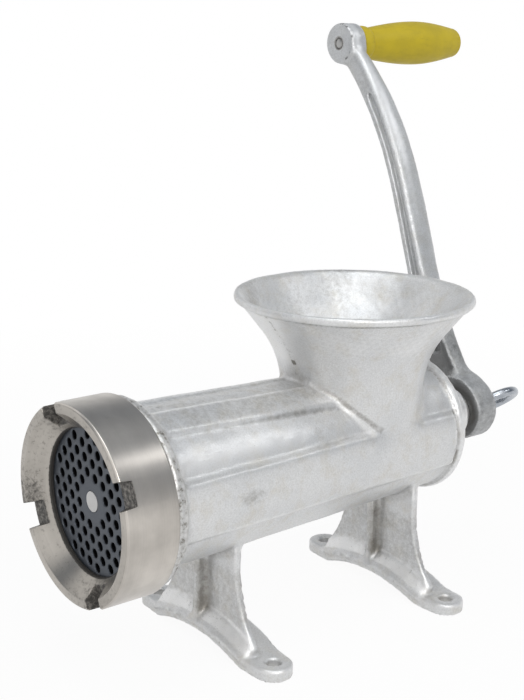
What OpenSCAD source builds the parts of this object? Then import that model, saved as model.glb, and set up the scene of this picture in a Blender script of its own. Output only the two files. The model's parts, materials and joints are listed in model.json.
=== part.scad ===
// Hand-cranked meat grinder: a tinned casting with a flared hopper and four bolted feet,
// a screw ring that holds the hole plate, and a crank that turns the auger and the knife.
// The origin is the centre of the bolt pattern on the base, with the outlet towards -Y.

/* [Barrel] */
// Height of the barrel's axis above the base
axis_height = 118.5; // [115:0.5:135]
// Barrel radius just behind the front collar
barrel_front_r = 52.5; // [51:0.5:56]
// Barrel radius just before the rear flange
barrel_rear_r = 46.5; // [46:0.5:52]
// Distance from the bolt pattern's centre to the barrel's mouth
mouth_reach = 167; // [155:1:185]
// Distance from the bolt pattern's centre to the rear end face
rear_reach = 109; // [107:1:125]
// Bore radius behind the hole plate
bore_front_r = 45; // [43:0.5:46]
// Bore radius at the rear wall
bore_rear_r = 40; // [38:0.5:42]
// Thickness of the rear end wall
rear_wall = 12; // [8:0.5:15]
// Radius of the rear flange
rear_flange_r = 49.5; // [47:0.5:56]
// Width of the rear flange
rear_flange_width = 9; // [6:0.5:12]
// Rounding of the rear flange's edge
rear_flange_round = 3.5; // [1:0.5:5]
// Outer radius of the rear bearing boss
boss_r = 20; // [18.5:0.5:24]
// Length of the rear bearing boss
boss_length = 33; // [25:1:45]
// Height of the raised side band above the axis
band_above = 19; // [10:1:26]
// Depth of the raised side band below the axis
band_below = 20; // [10:1:26]
// How far the side band stands out of the barrel
band_raise = 3.5; // [2:0.5:5]
// Angle of each long rib from the top of the barrel
rib_angle = 25; // [20:1:35]
// Width of each long rib
rib_width = 19; // [8:1:22]
// How far each long rib stands out of the barrel at the collar
rib_raise = 2.2; // [1:0.1:4]
// How far each long rib stands out of the barrel below the hopper
rib_end_raise = 0.6; // [0.2:0.1:3]

/* [Mouth] */
// Outer radius of the barrel's front thread
thread_r = 58; // [56:0.5:59.5]
// Length of the barrel's front thread
thread_length = 19.5; // [16:0.5:24]
// Chamfer at the start of the front thread
thread_chamfer = 1.5; // [0.5:0.5:3]
// Radius of the collar behind the thread
collar_r = 61.5; // [60:0.5:66]
// Width of the collar behind the thread
collar_width = 6.5; // [4:0.5:10]
// Cast fillet between the collar and the barrel
collar_fillet = 4; // [1:0.5:6]
// Diameter of the key pin that stops the hole plate from turning
key_d = 5; // [4:0.5:6]
// Depth of the key pin's hole behind the plate seat
key_depth = 10; // [6:1:15]

/* [Hopper] */
// Distance of the hopper's axis behind the bolt pattern's centre
hopper_reach = 41; // [35:1:50]
// Height of the hopper's rim above the base
rim_height = 223; // [217:0.5:240]
// Outer radius of the hopper's rim
rim_r = 81.5; // [78:0.5:95]
// Wall thickness at the rim
rim_wall = 5; // [4:0.5:6]
// Rounding of the rim's outer edge
rim_round = 2; // [1:0.5:2]
// Outer radius of the hopper's neck
neck_r = 49.5; // [48:0.5:51]
// Radius of the throat inside the neck
throat_r = 40; // [34:0.5:40.5]
// Height above the axis where the outside starts to flare
flare_start = 36; // [30:1:44]
// Outer radius of the flare's curve
flare_r = 72; // [50:1:90]
// Height above the axis where the inside starts to flare
throat_flare_start = 32; // [26:1:40]
// Radius of the inner flare's curve
throat_flare_r = 58; // [40:1:80]

/* [Legs] */
// Spacing of the bolt holes from left to right
bolt_span_x = 130; // [124:1:150]
// Spacing of the bolt holes from front to rear
bolt_span_y = 156; // [150:1:166]
// Diameter of the bolt holes
bolt_hole_d = 10; // [6:0.5:12]
// Thickness of the foot ends
foot_thickness = 8; // [7:0.5:14]
// Width of the foot bar
foot_width = 25; // [22:1:30]
// Half length of the arch under the foot bar
arch_half = 48; // [40:1:50]
// Height of the arch under the foot bar
arch_rise = 10; // [5:0.5:12]
// Width of the foot bar at its middle
foot_mid_width = 30; // [26:1:40]
// Thickness of the leg's web plate
leg_thickness = 7; // [6:0.5:12]
// How far the leg's web plate stands in front of the bolt holes
leg_offset = 4; // [0:0.5:6]
// Width of the leg where it meets the barrel
leg_width = 68; // [60:1:84]
// Width of the leg where it meets the foot bar
leg_foot_width = 104; // [96:1:112]
// Height where the leg's edges start to spread
leg_spread_height = 64; // [50:1:66]
// Thickness of the rib down the front of each leg
leg_rib_thickness = 7; // [6:0.5:12]
// Depth of the rib down the front of each leg
leg_rib_depth = 7.5; // [4:0.5:7.5]

/* [Screw ring] */
// Outer radius of the screw ring
ring_r = 64; // [62:0.5:70]
// Length of the screw ring
ring_length = 37; // [34:0.5:37]
// Depth of the ring in front of the hole plate
ring_front_depth = 14.7; // [12:0.1:14.8]
// Radius of the lip that holds the hole plate
ring_lip_r = 46.5; // [44:0.5:48]
// Radius of the cone's mouth on the ring's front face
ring_cone_r = 57.5; // [54:0.5:60]
// Depth of the cone behind the ring's front face
ring_cone_depth = 9; // [6:0.5:11]
// Chamfer on the ring's outer edges
ring_chamfer = 1.5; // [0.5:0.5:3]
// Width of each spanner notch
notch_width = 16; // [10:0.5:22]
// Depth of each spanner notch
notch_depth = 8.5; // [6:0.5:12]
// Turn of the first spanner notch from the top, seen from the front
notch_turn = 23; // [0:1:45]
// Number of spanner notches
notch_count = 4; // [3:1:6]

/* [Hole plate] */
// Diameter of the hole plate
plate_d = 100; // [98:0.5:102]
// Thickness of the hole plate
plate_thickness = 10; // [8:0.5:12]
// How far the plate stands out of the barrel's mouth
plate_proud = 3; // [2:0.5:4]
// Diameter of the mincing holes
hole_d = 6; // [3:0.5:7]
// Pitch of the mincing holes
hole_pitch = 9.3; // [8:0.1:12]
// Width of the bare rim outside the holes
plate_rim = 3.5; // [3:0.5:8]
// Radius of the bare centre inside the holes
plate_centre_r = 12.5; // [11:0.5:16]
// Turn of the hole pattern, seen from the front
pattern_turn = -13; // [-30:1:30]

/* [Knife] */
// Radius swept by the knife's blades
knife_r = 43; // [38:0.5:44]
// Length of the knife's hub along the axis
knife_length = 13; // [10:0.5:18]
// Radius of the knife's hub
knife_hub_r = 18; // [16:0.5:22]
// Thickness of the blades along the axis
blade_thickness = 9; // [6:0.5:10]
// Width of each blade at the hub
blade_root = 16; // [12:0.5:20]
// Width of each blade at the tip
blade_tip = 9; // [6:0.5:14]
// Number of blades
blade_count = 4; // [3:1:4]

/* [Auger] */
// Radius of the auger's core at the front
core_front_r = 16; // [14:0.5:20]
// Radius of the auger's core at the rear
core_rear_r = 20; // [17:0.5:26]
// Thickness of the flight at its root
flight_root = 10; // [8:0.5:16]
// Thickness of the flight at its edge
flight_edge = 5; // [4:0.5:8]
// How deep the flight's root is sunk into the core
flight_sink = 3; // [1:0.5:5]
// Number of turns of the flight
flight_turns = 4; // [3:0.25:5]
// How much the flight's pitch shortens towards the outlet
flight_squeeze = 0.18; // [0:0.01:0.3]
// Radius of the auger's rear journal
journal_r = 14; // [13.5:0.5:14.5]
// Outer radius of the rear bush
bush_r = 16.8; // [16:0.1:17.5]
// Side of the square that drives the crank
drive_side = 19; // [16:0.5:19]
// Thickness of the thrust washer behind the auger
thrust_thickness = 3; // [2:0.5:5]
// Radius of the thrust washer
thrust_r = 24; // [20:0.5:32]
// Diameter of the stud's front pin
pin_d = 13; // [10:0.5:14]
// Side of the stud's square inside the knife
stud_side = 16; // [14:0.5:18]
// Radius of the stud's shank inside the auger
shank_r = 8; // [6:0.5:10]
// Length of the stud's shank inside the auger
shank_length = 30; // [20:1:40]

/* [Crank] */
// Distance from the auger's axis to the grip's axis
crank_radius = 305; // [250:1:340]
// Lean of the crank from upright, seen from the front
crank_lean = 29; // [0:1:45]
// Bow of the arm's lower half towards -X
arm_sway = 20; // [0:1:30]
// Bow of the arm's upper half towards +X
arm_bow = 45; // [0:1:55]
// Width of the arm at the hub
arm_root_width = 32; // [26:0.5:40]
// Width of the arm along its length
arm_width = 10.5; // [8:0.5:14]
// Depth of the arm at the hub
arm_root_depth = 12; // [10:0.5:16]
// Depth of the arm at its middle
arm_mid_depth = 20; // [14:0.5:24]
// Depth of the hollows in the arm's front and rear faces
arm_hollow_depth = 2; // [1:0.25:3]
// Width of the rounded rim beside each hollow
arm_rim = 3; // [2:0.25:4]
// Share of the arm's length where the hollows start
hollow_start = 0.13; // [0.1:0.01:0.3]
// Share of the arm's length where the hollows end
hollow_end = 0.86; // [0.6:0.01:0.9]
// Gap between the bearing boss and the crank's hub
hub_gap = 7.5; // [4:0.5:12]
// Outer radius of the crank's hub
hub_r = 22.5; // [20:0.5:28]
// Length of the crank's hub
hub_length = 21; // [18:0.5:28]
// Depth of the recess in the hub's front face
hub_recess_depth = 3; // [2:0.5:5]
// Thickness of the hub's rear wall, behind the square socket
hub_web = 5; // [4:0.5:8]
// Easing of the edges of the hub and of the grip's boss
crank_ease = 2; // [0.5:0.5:3]
// Radius of the boss that carries the grip
end_boss_r = 15.8; // [14:0.1:18]
// Length of the boss that carries the grip
end_boss_length = 16; // [14:0.5:20]

/* [Grip] */
// Length of the grip
grip_length = 111; // [80:1:130]
// Largest radius of the grip
grip_r = 17.4; // [15:0.1:20]
// Radius of the bead at the grip's inner end
grip_bead_r = 13.8; // [12:0.1:16]
// Length of the bead at the grip's inner end
grip_bead_length = 10; // [6:0.5:14]
// Rounding of the bead's edge
grip_bead_round = 1.5; // [0.5:0.5:3]
// Length of the groove between the bead and the neck
grip_groove = 2; // [1:0.5:4]
// Radius of the neck beside the bead
grip_neck_r = 12.4; // [11:0.1:14]
// Radius of the grip's outer end
grip_end_r = 12; // [10.5:0.5:14]
// Share of the grip's body that lies before its widest place
grip_belly = 0.52; // [0.3:0.01:0.7]
// Rounding of the grip's outer end
grip_end_round = 3.5; // [1:0.5:5]
// Radius of the spindle inside the grip
spindle_r = 5; // [4:0.5:6]
// Radius of the spindle's outer head
spindle_head_r = 7.5; // [7:0.5:8]
// Thickness of the spindle's outer head
spindle_head = 3; // [2:0.5:5]
// Radius of the spindle's riveted end
rivet_r = 6; // [6:0.5:9]
// Height of the spindle's riveted end
rivet_height = 0.8; // [0.5:0.1:2]
// Radius of the washer between the boss and the grip
washer_r = 11; // [8:0.5:12]
// Thickness of the washer between the boss and the grip
washer_thickness = 1.6; // [1:0.1:2.5]

/* [Thumb screw] */
// Radius of the thumb screw's thread
screw_r = 6; // [5:0.5:7]
// Length of the thumb screw's thread
screw_length = 27; // [22:1:30]
// Radius of the thumb screw's shoulder
shoulder_r = 10; // [8:0.5:13]
// Thickness of the thumb screw's shoulder
shoulder_thickness = 4; // [3:0.5:6]
// Radius of the eye's centre line
eye_r = 16.5; // [14:0.5:24]
// Radius of the eye's bar
eye_bar_r = 3.5; // [3:0.25:4.5]
// Turn of the eye from upright, seen from the front
eye_turn = 52; // [0:1:90]

/* [Fits] */
// Running clearance of each shaft in its hole
running_fit = 0.05; // [0.02:0.01:0.1]
// Clearance of each pressed piece in its hole
press_gap = 0.02; // [0.01:0.01:0.05]
// Gap between pieces that move past each other
free_gap = 0.3; // [0.2:0.05:0.5]
// Gap between the flight's edge and the bore
flight_gap = 0.8; // [0.5:0.1:1.5]
// Clearance of each square drive in its socket
square_gap = 0.15; // [0.1:0.05:0.3]

/* [Hidden] */
$fn = 96;

cast = "gainsboro";
steel = "silver";
dark_steel = "slategray";
over = 1;

// Places along the axis, from the outlet to the crank
mouth_y = -mouth_reach;
collar_front_y = mouth_y + thread_length;
collar_rear_y = collar_front_y + collar_width;
flange_front_y = rear_reach - rear_flange_width;
rear_inner_y = rear_reach - rear_wall;
boss_end_y = rear_reach + boss_length;
plate_front_y = mouth_y - plate_proud;
plate_rear_y = plate_front_y + plate_thickness;
plate_seat_y = plate_rear_y + free_gap;
ring_seat_y = plate_front_y - free_gap;
ring_front_y = ring_seat_y - ring_front_depth;
ring_rear_y = ring_front_y + ring_length;
knife_front_y = plate_rear_y + free_gap;
knife_rear_y = knife_front_y + knife_length;
auger_rear_y = rear_inner_y - free_gap - thrust_thickness;
hub_front_y = boss_end_y + hub_gap;
hub_rear_y = hub_front_y + hub_length;
arm_y = (hub_front_y + hub_rear_y) / 2;
drive_start_y = hub_front_y + hub_recess_depth - free_gap;
socket_end_y = hub_rear_y - hub_web;
drive_end_y = socket_end_y - free_gap;
end_boss_front_y = arm_y - end_boss_length / 2;
end_boss_rear_y = arm_y + end_boss_length / 2;
grip_start_y = end_boss_rear_y + washer_thickness + free_gap;
grip_end_y = grip_start_y + grip_length;
screw_seat_y = hub_rear_y + free_gap;
screw_tip_y = screw_seat_y - screw_length;
eye_centre_y = screw_seat_y + over + eye_r + eye_bar_r;

// Fits that two pieces share
plate_r = plate_d / 2;
plate_pocket_r = plate_r + free_gap;
ring_bore_r = thread_r + free_gap;
key_r = key_d / 2;
key_angle = pattern_turn - 60;
key_place_r = plate_r;
flight_length = auger_rear_y - knife_rear_y;

// Grip axis, leaning to the left as seen from the front
grip_x = -crank_radius * sin(crank_lean);
grip_z = axis_height + crank_radius * cos(crank_lean);

// Bore radius at a place along the axis
function bore_at(y) =
    bore_front_r + (bore_rear_r - bore_front_r) * (y - plate_seat_y) / (rear_inner_y - plate_seat_y);

// Core radius of the auger at a place along the axis
function core_at(y) =
    core_front_r + (core_rear_r - core_front_r) * (y - knife_rear_y) / flight_length;

// Angle, about a circle's centre, of the point where a line from p touches the circle
function touch_angle(centre, r, p) =
    let (d = p - centre)
    atan2(d[1], d[0]) + acos(r / norm(d));

// Point on a cubic curve through the control points c
function curve_point(c, t) =
    c[0] * pow(1 - t, 3) + c[1] * 3 * t * pow(1 - t, 2) + c[2] * 3 * t * t * (1 - t) + c[3] * pow(t, 3);

// Direction of a cubic curve through the control points c
function curve_slope(c, t) =
    (c[1] - c[0]) * pow(1 - t, 2) + (c[2] - c[1]) * 2 * t * (1 - t) + (c[3] - c[2]) * t * t;

// Puts a shape drawn along +Z onto the barrel's axis, which runs along +Y
module on_axis(x = 0, y = 0, z = axis_height) {
    translate([x, y, z])
        rotate([-90, 0, 0])
            children();
}

// Turns a profile of [radius, place along the axis] points about the barrel's axis
module turned(profile) {
    on_axis()
        rotate_extrude()
            polygon(profile);
}

// Round bar along the barrel's axis from y1 to y2
module bar(r, y1, y2, x = 0, z = axis_height) {
    on_axis(x, y1, z)
        cylinder(h = y2 - y1, r = r);
}

// Round bar from y1 to y2 with both edges eased
module eased_bar(r, y1, y2, ease, x = 0, z = axis_height) {
    length = y2 - y1;
    on_axis(x, y1, z)
        rotate_extrude()
            polygon([
                [0, 0],
                [r - ease, 0],
                [r, ease],
                [r, length - ease],
                [r - ease, length],
                [0, length]
            ]);
}

// Square bar along the barrel's axis from y1 to y2
module square_bar(side, y1, y2) {
    translate([-side / 2, y1, axis_height - side / 2])
        cube([side, y2 - y1, side]);
}

module barrel_outside() {
    turned([
        [0, mouth_y],
        [thread_r - thread_chamfer, mouth_y],
        [thread_r, mouth_y + thread_chamfer],
        [thread_r, collar_front_y],
        [collar_r, collar_front_y],
        [collar_r, collar_rear_y],
        [barrel_front_r + collar_fillet, collar_rear_y],
        [barrel_front_r, collar_rear_y + collar_fillet],
        [barrel_rear_r, flange_front_y],
        [rear_flange_r, flange_front_y + rear_flange_round],
        [rear_flange_r, rear_reach - rear_flange_round],
        [rear_flange_r - rear_flange_round, rear_reach],
        [boss_r, rear_reach],
        [boss_r, boss_end_y],
        [0, boss_end_y]
    ]);
}

// Barrel surface raised by one height at the collar and by another at a place along the axis
module raised_barrel(raise, end_raise, y_end) {
    slope = (barrel_rear_r - barrel_front_r) / (flange_front_y - collar_rear_y);
    turned([
        [0, collar_rear_y - over],
        [barrel_front_r + raise, collar_rear_y - over],
        [barrel_front_r + end_raise + slope * (y_end - collar_rear_y + over), y_end],
        [0, y_end]
    ]);
}

module side_bands() {
    reach = barrel_front_r + band_raise + over;
    intersection() {
        raised_barrel(band_raise, band_raise, flange_front_y + over);
        translate([-reach, collar_rear_y - 2 * over, axis_height - band_below])
            cube([2 * reach, flange_front_y - collar_rear_y + 4 * over, band_below + band_above]);
    }
}

module long_ribs() {
    reach = barrel_front_r + rib_raise + over;
    for (side = [-1, 1])
        intersection() {
            raised_barrel(rib_raise, rib_end_raise, hopper_reach);
            translate([0, 0, axis_height])
                rotate([0, side * rib_angle, 0])
                    translate([-rib_width / 2, collar_rear_y - 2 * over, 0])
                        cube([rib_width, hopper_reach - collar_rear_y + 4 * over, reach]);
        }
}

// Flared bell of revolution: a straight neck, a round flare and a cone up to the rim
module bell(r_neck, z_flare, r_flare, r_rim, z_rim, z_top) {
    centre = [r_neck + r_flare, z_flare];
    rim = [r_rim, z_rim];
    a = touch_angle(centre, r_flare, rim);
    touch = centre + r_flare * [cos(a), sin(a)];
    edge = (rim - touch) / norm(rim - touch);
    translate([0, hopper_reach, axis_height])
        rotate_extrude()
            difference() {
                polygon([
                    [0, 0],
                    [r_neck, 0],
                    [r_neck, z_flare],
                    touch,
                    rim,
                    if (z_top < z_rim + over) [r_rim - rim_round, z_top],
                    if (z_top >= z_rim + over) rim + edge * (z_top - z_rim) / edge[1],
                    [0, z_top]
                ]);
                translate(centre)
                    circle(r = r_flare, $fn = 180);
            }
}

module hopper_outside() {
    z_top = rim_height - axis_height;
    bell(neck_r, flare_start, flare_r, rim_r, z_top - rim_round, z_top);
}

module hopper_inside() {
    z_top = rim_height - axis_height;
    bell(throat_r, throat_flare_start, throat_flare_r, rim_r - rim_wall, z_top, z_top + 2 * over);
}

// Outline of a leg's web, seen from the front, with edges that spread towards the foot
module leg_outline() {
    z_foot = foot_thickness / 2 + arch_rise;
    spread = (leg_foot_width - leg_width) / 2;
    drop = leg_spread_height - z_foot;
    curve_r = (spread * spread + drop * drop) / (2 * spread);
    difference() {
        translate([-leg_foot_width / 2, z_foot])
            square([leg_foot_width, axis_height - z_foot]);
        for (side = [-1, 1]) {
            translate([side * (leg_width / 2 + curve_r), leg_spread_height])
                circle(r = curve_r, $fn = 180);
            translate([side * (leg_width / 2 + curve_r) - curve_r, leg_spread_height])
                square([2 * curve_r, axis_height]);
        }
    }
}

// Foot bar seen from the front: flat ends joined by an arched middle
module foot_outline() {
    foot_half = bolt_span_x / 2 + foot_width / 2;
    crown_half = bolt_span_x / 2 - foot_width / 2;
    arch_r = (arch_half * arch_half + arch_rise * arch_rise) / (2 * arch_rise);
    crown_r = (crown_half * crown_half + arch_rise * arch_rise) / (2 * arch_rise);
    difference() {
        union() {
            translate([-foot_half, 0])
                square([2 * foot_half, foot_thickness]);
            intersection() {
                translate([0, foot_thickness + arch_rise - crown_r])
                    circle(r = crown_r, $fn = 180);
                translate([-crown_half, foot_thickness / 2])
                    square([2 * crown_half, foot_thickness + arch_rise]);
            }
        }
        translate([0, arch_rise - arch_r])
            circle(r = arch_r, $fn = 180);
    }
}

// Foot bar seen from above: round ends at the bolt holes and a wider middle
module foot_plan() {
    half = bolt_span_x / 2;
    polygon([
        for (p = [
            [-half, -foot_width], [-half / 2, -foot_mid_width], [half / 2, -foot_mid_width],
            [half, -foot_width], [half, foot_width], [-half, foot_width]
        ])
            [p[0], p[1] / 2]
    ]);
    for (side = [-1, 1])
        translate([side * half, 0])
            circle(d = foot_width);
}

module leg(y) {
    foot_height = foot_thickness + arch_rise;
    rib_start = arch_rise + foot_thickness / 2;
    translate([0, y, 0]) {
        translate([0, -leg_offset, 0]) {
            rotate([90, 0, 0])
                linear_extrude(height = leg_thickness, center = true)
                    leg_outline();
            translate([-leg_rib_thickness / 2, -leg_thickness / 2 - leg_rib_depth, rib_start])
                cube([leg_rib_thickness, leg_rib_depth + leg_thickness / 2, axis_height - rib_start]);
        }
        intersection() {
            rotate([90, 0, 0])
                linear_extrude(height = foot_mid_width + over, center = true)
                    foot_outline();
            linear_extrude(height = foot_height + over)
                foot_plan();
        }
    }
}

module bolt_holes() {
    for (x = [-bolt_span_x / 2, bolt_span_x / 2], y = [-bolt_span_y / 2, bolt_span_y / 2])
        translate([x, y, -over])
            cylinder(h = foot_thickness + arch_rise, d = bolt_hole_d);
}

// Space inside the barrel: plate pocket, tapered bore and bearing
module barrel_inside() {
    turned([
        [0, mouth_y - over],
        [plate_pocket_r, mouth_y - over],
        [plate_pocket_r, plate_seat_y],
        [bore_front_r, plate_seat_y],
        [bore_rear_r, rear_inner_y],
        [bush_r, rear_inner_y],
        [bush_r, boss_end_y + over],
        [0, boss_end_y + over]
    ]);
}

module body_casting() {
    key_x = key_place_r * cos(key_angle);
    key_z = axis_height + key_place_r * sin(key_angle);
    color(cast)
        difference() {
            union() {
                barrel_outside();
                side_bands();
                long_ribs();
                hopper_outside();
                leg(-bolt_span_y / 2);
                leg(bolt_span_y / 2);
            }
            barrel_inside();
            hopper_inside();
            bolt_holes();
            bar(key_r + press_gap, mouth_y - over, plate_seat_y + key_depth, key_x, key_z);
        }
}

module rear_bush() {
    color("darkgoldenrod")
        turned([
            [journal_r + running_fit, rear_inner_y],
            [bush_r - press_gap, rear_inner_y],
            [bush_r - press_gap, boss_end_y],
            [journal_r + running_fit, boss_end_y]
        ]);
}

module plate_key() {
    key_x = key_place_r * cos(key_angle);
    key_z = axis_height + key_place_r * sin(key_angle);
    color(steel)
        bar(key_r, mouth_y, plate_seat_y + key_depth, key_x, key_z);
}

module screw_ring() {
    color(steel)
        difference() {
            turned([
                [ring_lip_r, ring_seat_y],
                [ring_lip_r, ring_front_y + ring_cone_depth],
                [ring_cone_r, ring_front_y],
                [ring_r - ring_chamfer, ring_front_y],
                [ring_r, ring_front_y + ring_chamfer],
                [ring_r, ring_rear_y - ring_chamfer],
                [ring_r - ring_chamfer, ring_rear_y],
                [ring_bore_r, ring_rear_y],
                [ring_bore_r, ring_seat_y]
            ]);
            for (i = [0 : notch_count - 1])
                translate([0, 0, axis_height])
                    rotate([0, -notch_turn + i * 360 / notch_count, 0])
                        translate([-notch_width / 2, ring_front_y - over, ring_lip_r / 2])
                            cube([notch_width, notch_depth + over, ring_r]);
        }
}

// Places of the mincing holes: a triangular grid between the bare centre and the bare rim
function hole_places() =
    let (n = floor(plate_r / hole_pitch) + 1, r_max = plate_r - plate_rim - hole_d / 2)
    [
        for (i = [-2 * n : 2 * n], j = [-n : n])
            let (p = hole_pitch * [i + j / 2, j * sqrt(3) / 2])
            if (norm(p) > plate_centre_r && norm(p) <= r_max) p
    ];

module hole_plate() {
    key_slot = key_d + 2 * free_gap;
    slot_bottom = key_place_r - key_r - free_gap;
    color(dark_steel)
        difference() {
            bar(plate_r, plate_front_y, plate_rear_y);
            bar(pin_d / 2 + running_fit, plate_front_y - over, plate_rear_y + over);
            translate([0, 0, axis_height])
                rotate([0, -pattern_turn, 0])
                    for (p = hole_places())
                        bar(hole_d / 2, plate_front_y - over, plate_rear_y + over, p[0], p[1]);
            translate([0, 0, axis_height])
                rotate([0, -key_angle, 0])
                    translate([slot_bottom, plate_front_y - over, -key_slot / 2])
                        cube([key_slot, plate_thickness + 2 * over, key_slot]);
        }
}

module cross_knife() {
    color(steel)
        difference() {
            union() {
                bar(knife_hub_r, knife_front_y, knife_rear_y);
                on_axis(y = knife_front_y)
                    linear_extrude(height = blade_thickness)
                        intersection() {
                            circle(r = knife_r);
                            for (i = [0 : blade_count - 1])
                                rotate(i * 360 / blade_count)
                                    polygon([
                                        [0, -blade_root / 2],
                                        [knife_r + over, -blade_root / 2],
                                        [knife_r + over, blade_tip - blade_root / 2],
                                        [0, blade_root / 2]
                                    ]);
                        }
            }
            square_bar(stud_side + 2 * square_gap, knife_front_y - over, knife_rear_y + over);
        }
}

// Four corners of the flight's section at a fraction u of its length, from the rear to the outlet
function flight_section(u) =
    let (
        turn = 360 * flight_turns * u,
        y = auger_rear_y - flight_root / 2
            - (flight_length - flight_root) * (u * (1 + flight_squeeze) - flight_squeeze * u * u),
        r_in = core_at(y) - flight_sink,
        r_out = bore_at(y) - flight_gap
    )
    [
        for (c = [[r_in, flight_root], [r_out, flight_edge], [r_out, -flight_edge], [r_in, -flight_root]])
            [c[0] * sin(turn), y + c[1] / 2, axis_height + c[0] * cos(turn)]
    ];

module flight() {
    steps = ceil(flight_turns * 20);
    points = [for (i = [0 : steps]) each flight_section(i / steps)];
    sides = [
        for (i = [0 : steps - 1], k = [0 : 3])
            let (a = 4 * i + k, b = 4 * i + (k + 1) % 4)
            each [[a, b + 4, b], [a, a + 4, b + 4]]
    ];
    last = 4 * steps;
    ends = [[0, 1, 2], [0, 2, 3], [last, last + 2, last + 1], [last, last + 3, last + 2]];
    polyhedron(points, concat(sides, ends));
}

module auger() {
    color("lightgray")
        difference() {
            union() {
                turned([
                    [0, knife_rear_y],
                    [core_front_r, knife_rear_y],
                    [core_rear_r, auger_rear_y],
                    [journal_r, auger_rear_y],
                    [journal_r, drive_start_y],
                    [0, drive_start_y]
                ]);
                square_bar(drive_side, drive_start_y - over, drive_end_y);
                flight();
            }
            bar(shank_r + press_gap, knife_rear_y - over, knife_rear_y + shank_length + over);
            bar(screw_r + running_fit, screw_tip_y - 2 * over, drive_end_y + over);
        }
}

module auger_stud() {
    color(steel) {
        bar(pin_d / 2, plate_front_y, knife_front_y);
        square_bar(stud_side, knife_front_y, knife_rear_y);
        bar(shank_r, knife_rear_y, knife_rear_y + shank_length);
    }
}

module thrust_washer() {
    color("ivory")
        turned([
            [journal_r + press_gap, auger_rear_y],
            [thrust_r, auger_rear_y],
            [thrust_r, auger_rear_y + thrust_thickness],
            [journal_r + press_gap, auger_rear_y + thrust_thickness]
        ]);
}

// Width of the arm at a fraction t of its length
function arm_width_at(t) = arm_width + (arm_root_width - arm_width) * pow(1 - t, 5);

// Depth of the arm at a fraction t of its length
function arm_depth_at(t) =
    let (straight = arm_root_depth + (end_boss_length - over - arm_root_depth) * t)
    straight + (arm_mid_depth - (arm_root_depth + end_boss_length) / 2) * sin(180 * t);

// Outline of the arm from t1 to t2, set in by a margin, drawn upright from the hub at the origin
module arm_outline(margin = 0, t1 = 0, t2 = 1) {
    control = [[0, 0], [-arm_sway, 0.4 * crank_radius], [arm_bow, 0.6 * crank_radius], [0, crank_radius]];
    steps = 20;
    side_points = function (side) [
        for (i = [0 : steps])
            let (t = t1 + (t2 - t1) * i / steps, d = curve_slope(control, t))
            curve_point(control, t) + side * (arm_width_at(t) / 2 - margin) * [d[1], -d[0]] / norm(d)
    ];
    back = side_points(-1);
    polygon(concat(side_points(1), [for (i = [steps : -1 : 0]) back[i]]));
}

// Outline of the arm seen from the side, as [along the axis, up the arm], thinned by a cut on each face
module arm_side(cut = 0) {
    steps = 20;
    side_points = function (side) [
        for (i = [0 : steps])
            let (t = i / steps)
            [side * (arm_depth_at(t) / 2 - cut), t * crank_radius]
    ];
    back = side_points(-1);
    polygon(concat(side_points(1), [for (i = [steps : -1 : 0]) back[i]]));
}

// Stands a shape that is drawn upright in the arm's own frame on the hub, leaning as the crank does
module on_hub() {
    translate([0, arm_y, axis_height])
        rotate([0, -crank_lean, 0])
            children();
}

module arm() {
    reach = arm_sway + arm_bow + arm_root_width;
    on_hub()
        intersection() {
            difference() {
                rotate([90, 0, 0])
                    linear_extrude(height = 2 * arm_mid_depth, center = true)
                        arm_outline();
                difference() {
                    rotate([90, 0, 0])
                        linear_extrude(height = 2 * arm_mid_depth, center = true)
                            arm_outline(arm_rim, hollow_start, hollow_end);
                    rotate([90, 0, 90])
                        linear_extrude(height = 2 * reach, center = true)
                            arm_side(arm_hollow_depth);
                }
            }
            rotate([90, 0, 90])
                linear_extrude(height = 2 * reach, center = true)
                    arm_side();
        }
}

module crank_arm() {
    recess_r = journal_r + free_gap;
    color("darkgray")
        difference() {
            union() {
                arm();
                eased_bar(hub_r, hub_front_y, hub_rear_y, crank_ease);
                eased_bar(end_boss_r, end_boss_front_y, end_boss_rear_y, crank_ease, grip_x, grip_z);
            }
            bar(recess_r, hub_front_y - over, hub_front_y + hub_recess_depth);
            square_bar(drive_side + 2 * square_gap, hub_front_y, socket_end_y);
            bar(screw_r + free_gap, hub_front_y, hub_rear_y + over);
            bar(spindle_r + press_gap, end_boss_front_y - over, end_boss_rear_y + over, grip_x, grip_z);
        }
}

module thumb_screw() {
    color(steel) {
        bar(screw_r, screw_tip_y, screw_seat_y + over);
        bar(shoulder_r, screw_seat_y, screw_seat_y + shoulder_thickness);
        translate([0, eye_centre_y, axis_height])
            rotate([0, eye_turn, 0])
                rotate([0, 90, 0])
                    rotate_extrude()
                        translate([eye_r, 0])
                            circle(r = eye_bar_r, $fn = 48);
    }
}

module grip_spindle() {
    color(steel)
        on_axis(grip_x, 0, grip_z)
            rotate_extrude()
                polygon([
                    [0, end_boss_front_y - rivet_height],
                    [rivet_r - rivet_height, end_boss_front_y - rivet_height],
                    [rivet_r, end_boss_front_y],
                    [spindle_r, end_boss_front_y],
                    [spindle_r, grip_end_y - 2 * spindle_head],
                    [spindle_head_r, grip_end_y - 2 * spindle_head],
                    [spindle_head_r, grip_end_y - spindle_head],
                    [0, grip_end_y - spindle_head]
                ]);
}

module grip_washer() {
    color(steel)
        on_axis(grip_x, end_boss_rear_y, grip_z)
            difference() {
                cylinder(h = washer_thickness, r = washer_r);
                translate([0, 0, -over])
                    cylinder(h = washer_thickness + 2 * over, r = spindle_r + press_gap);
            }
}

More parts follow.
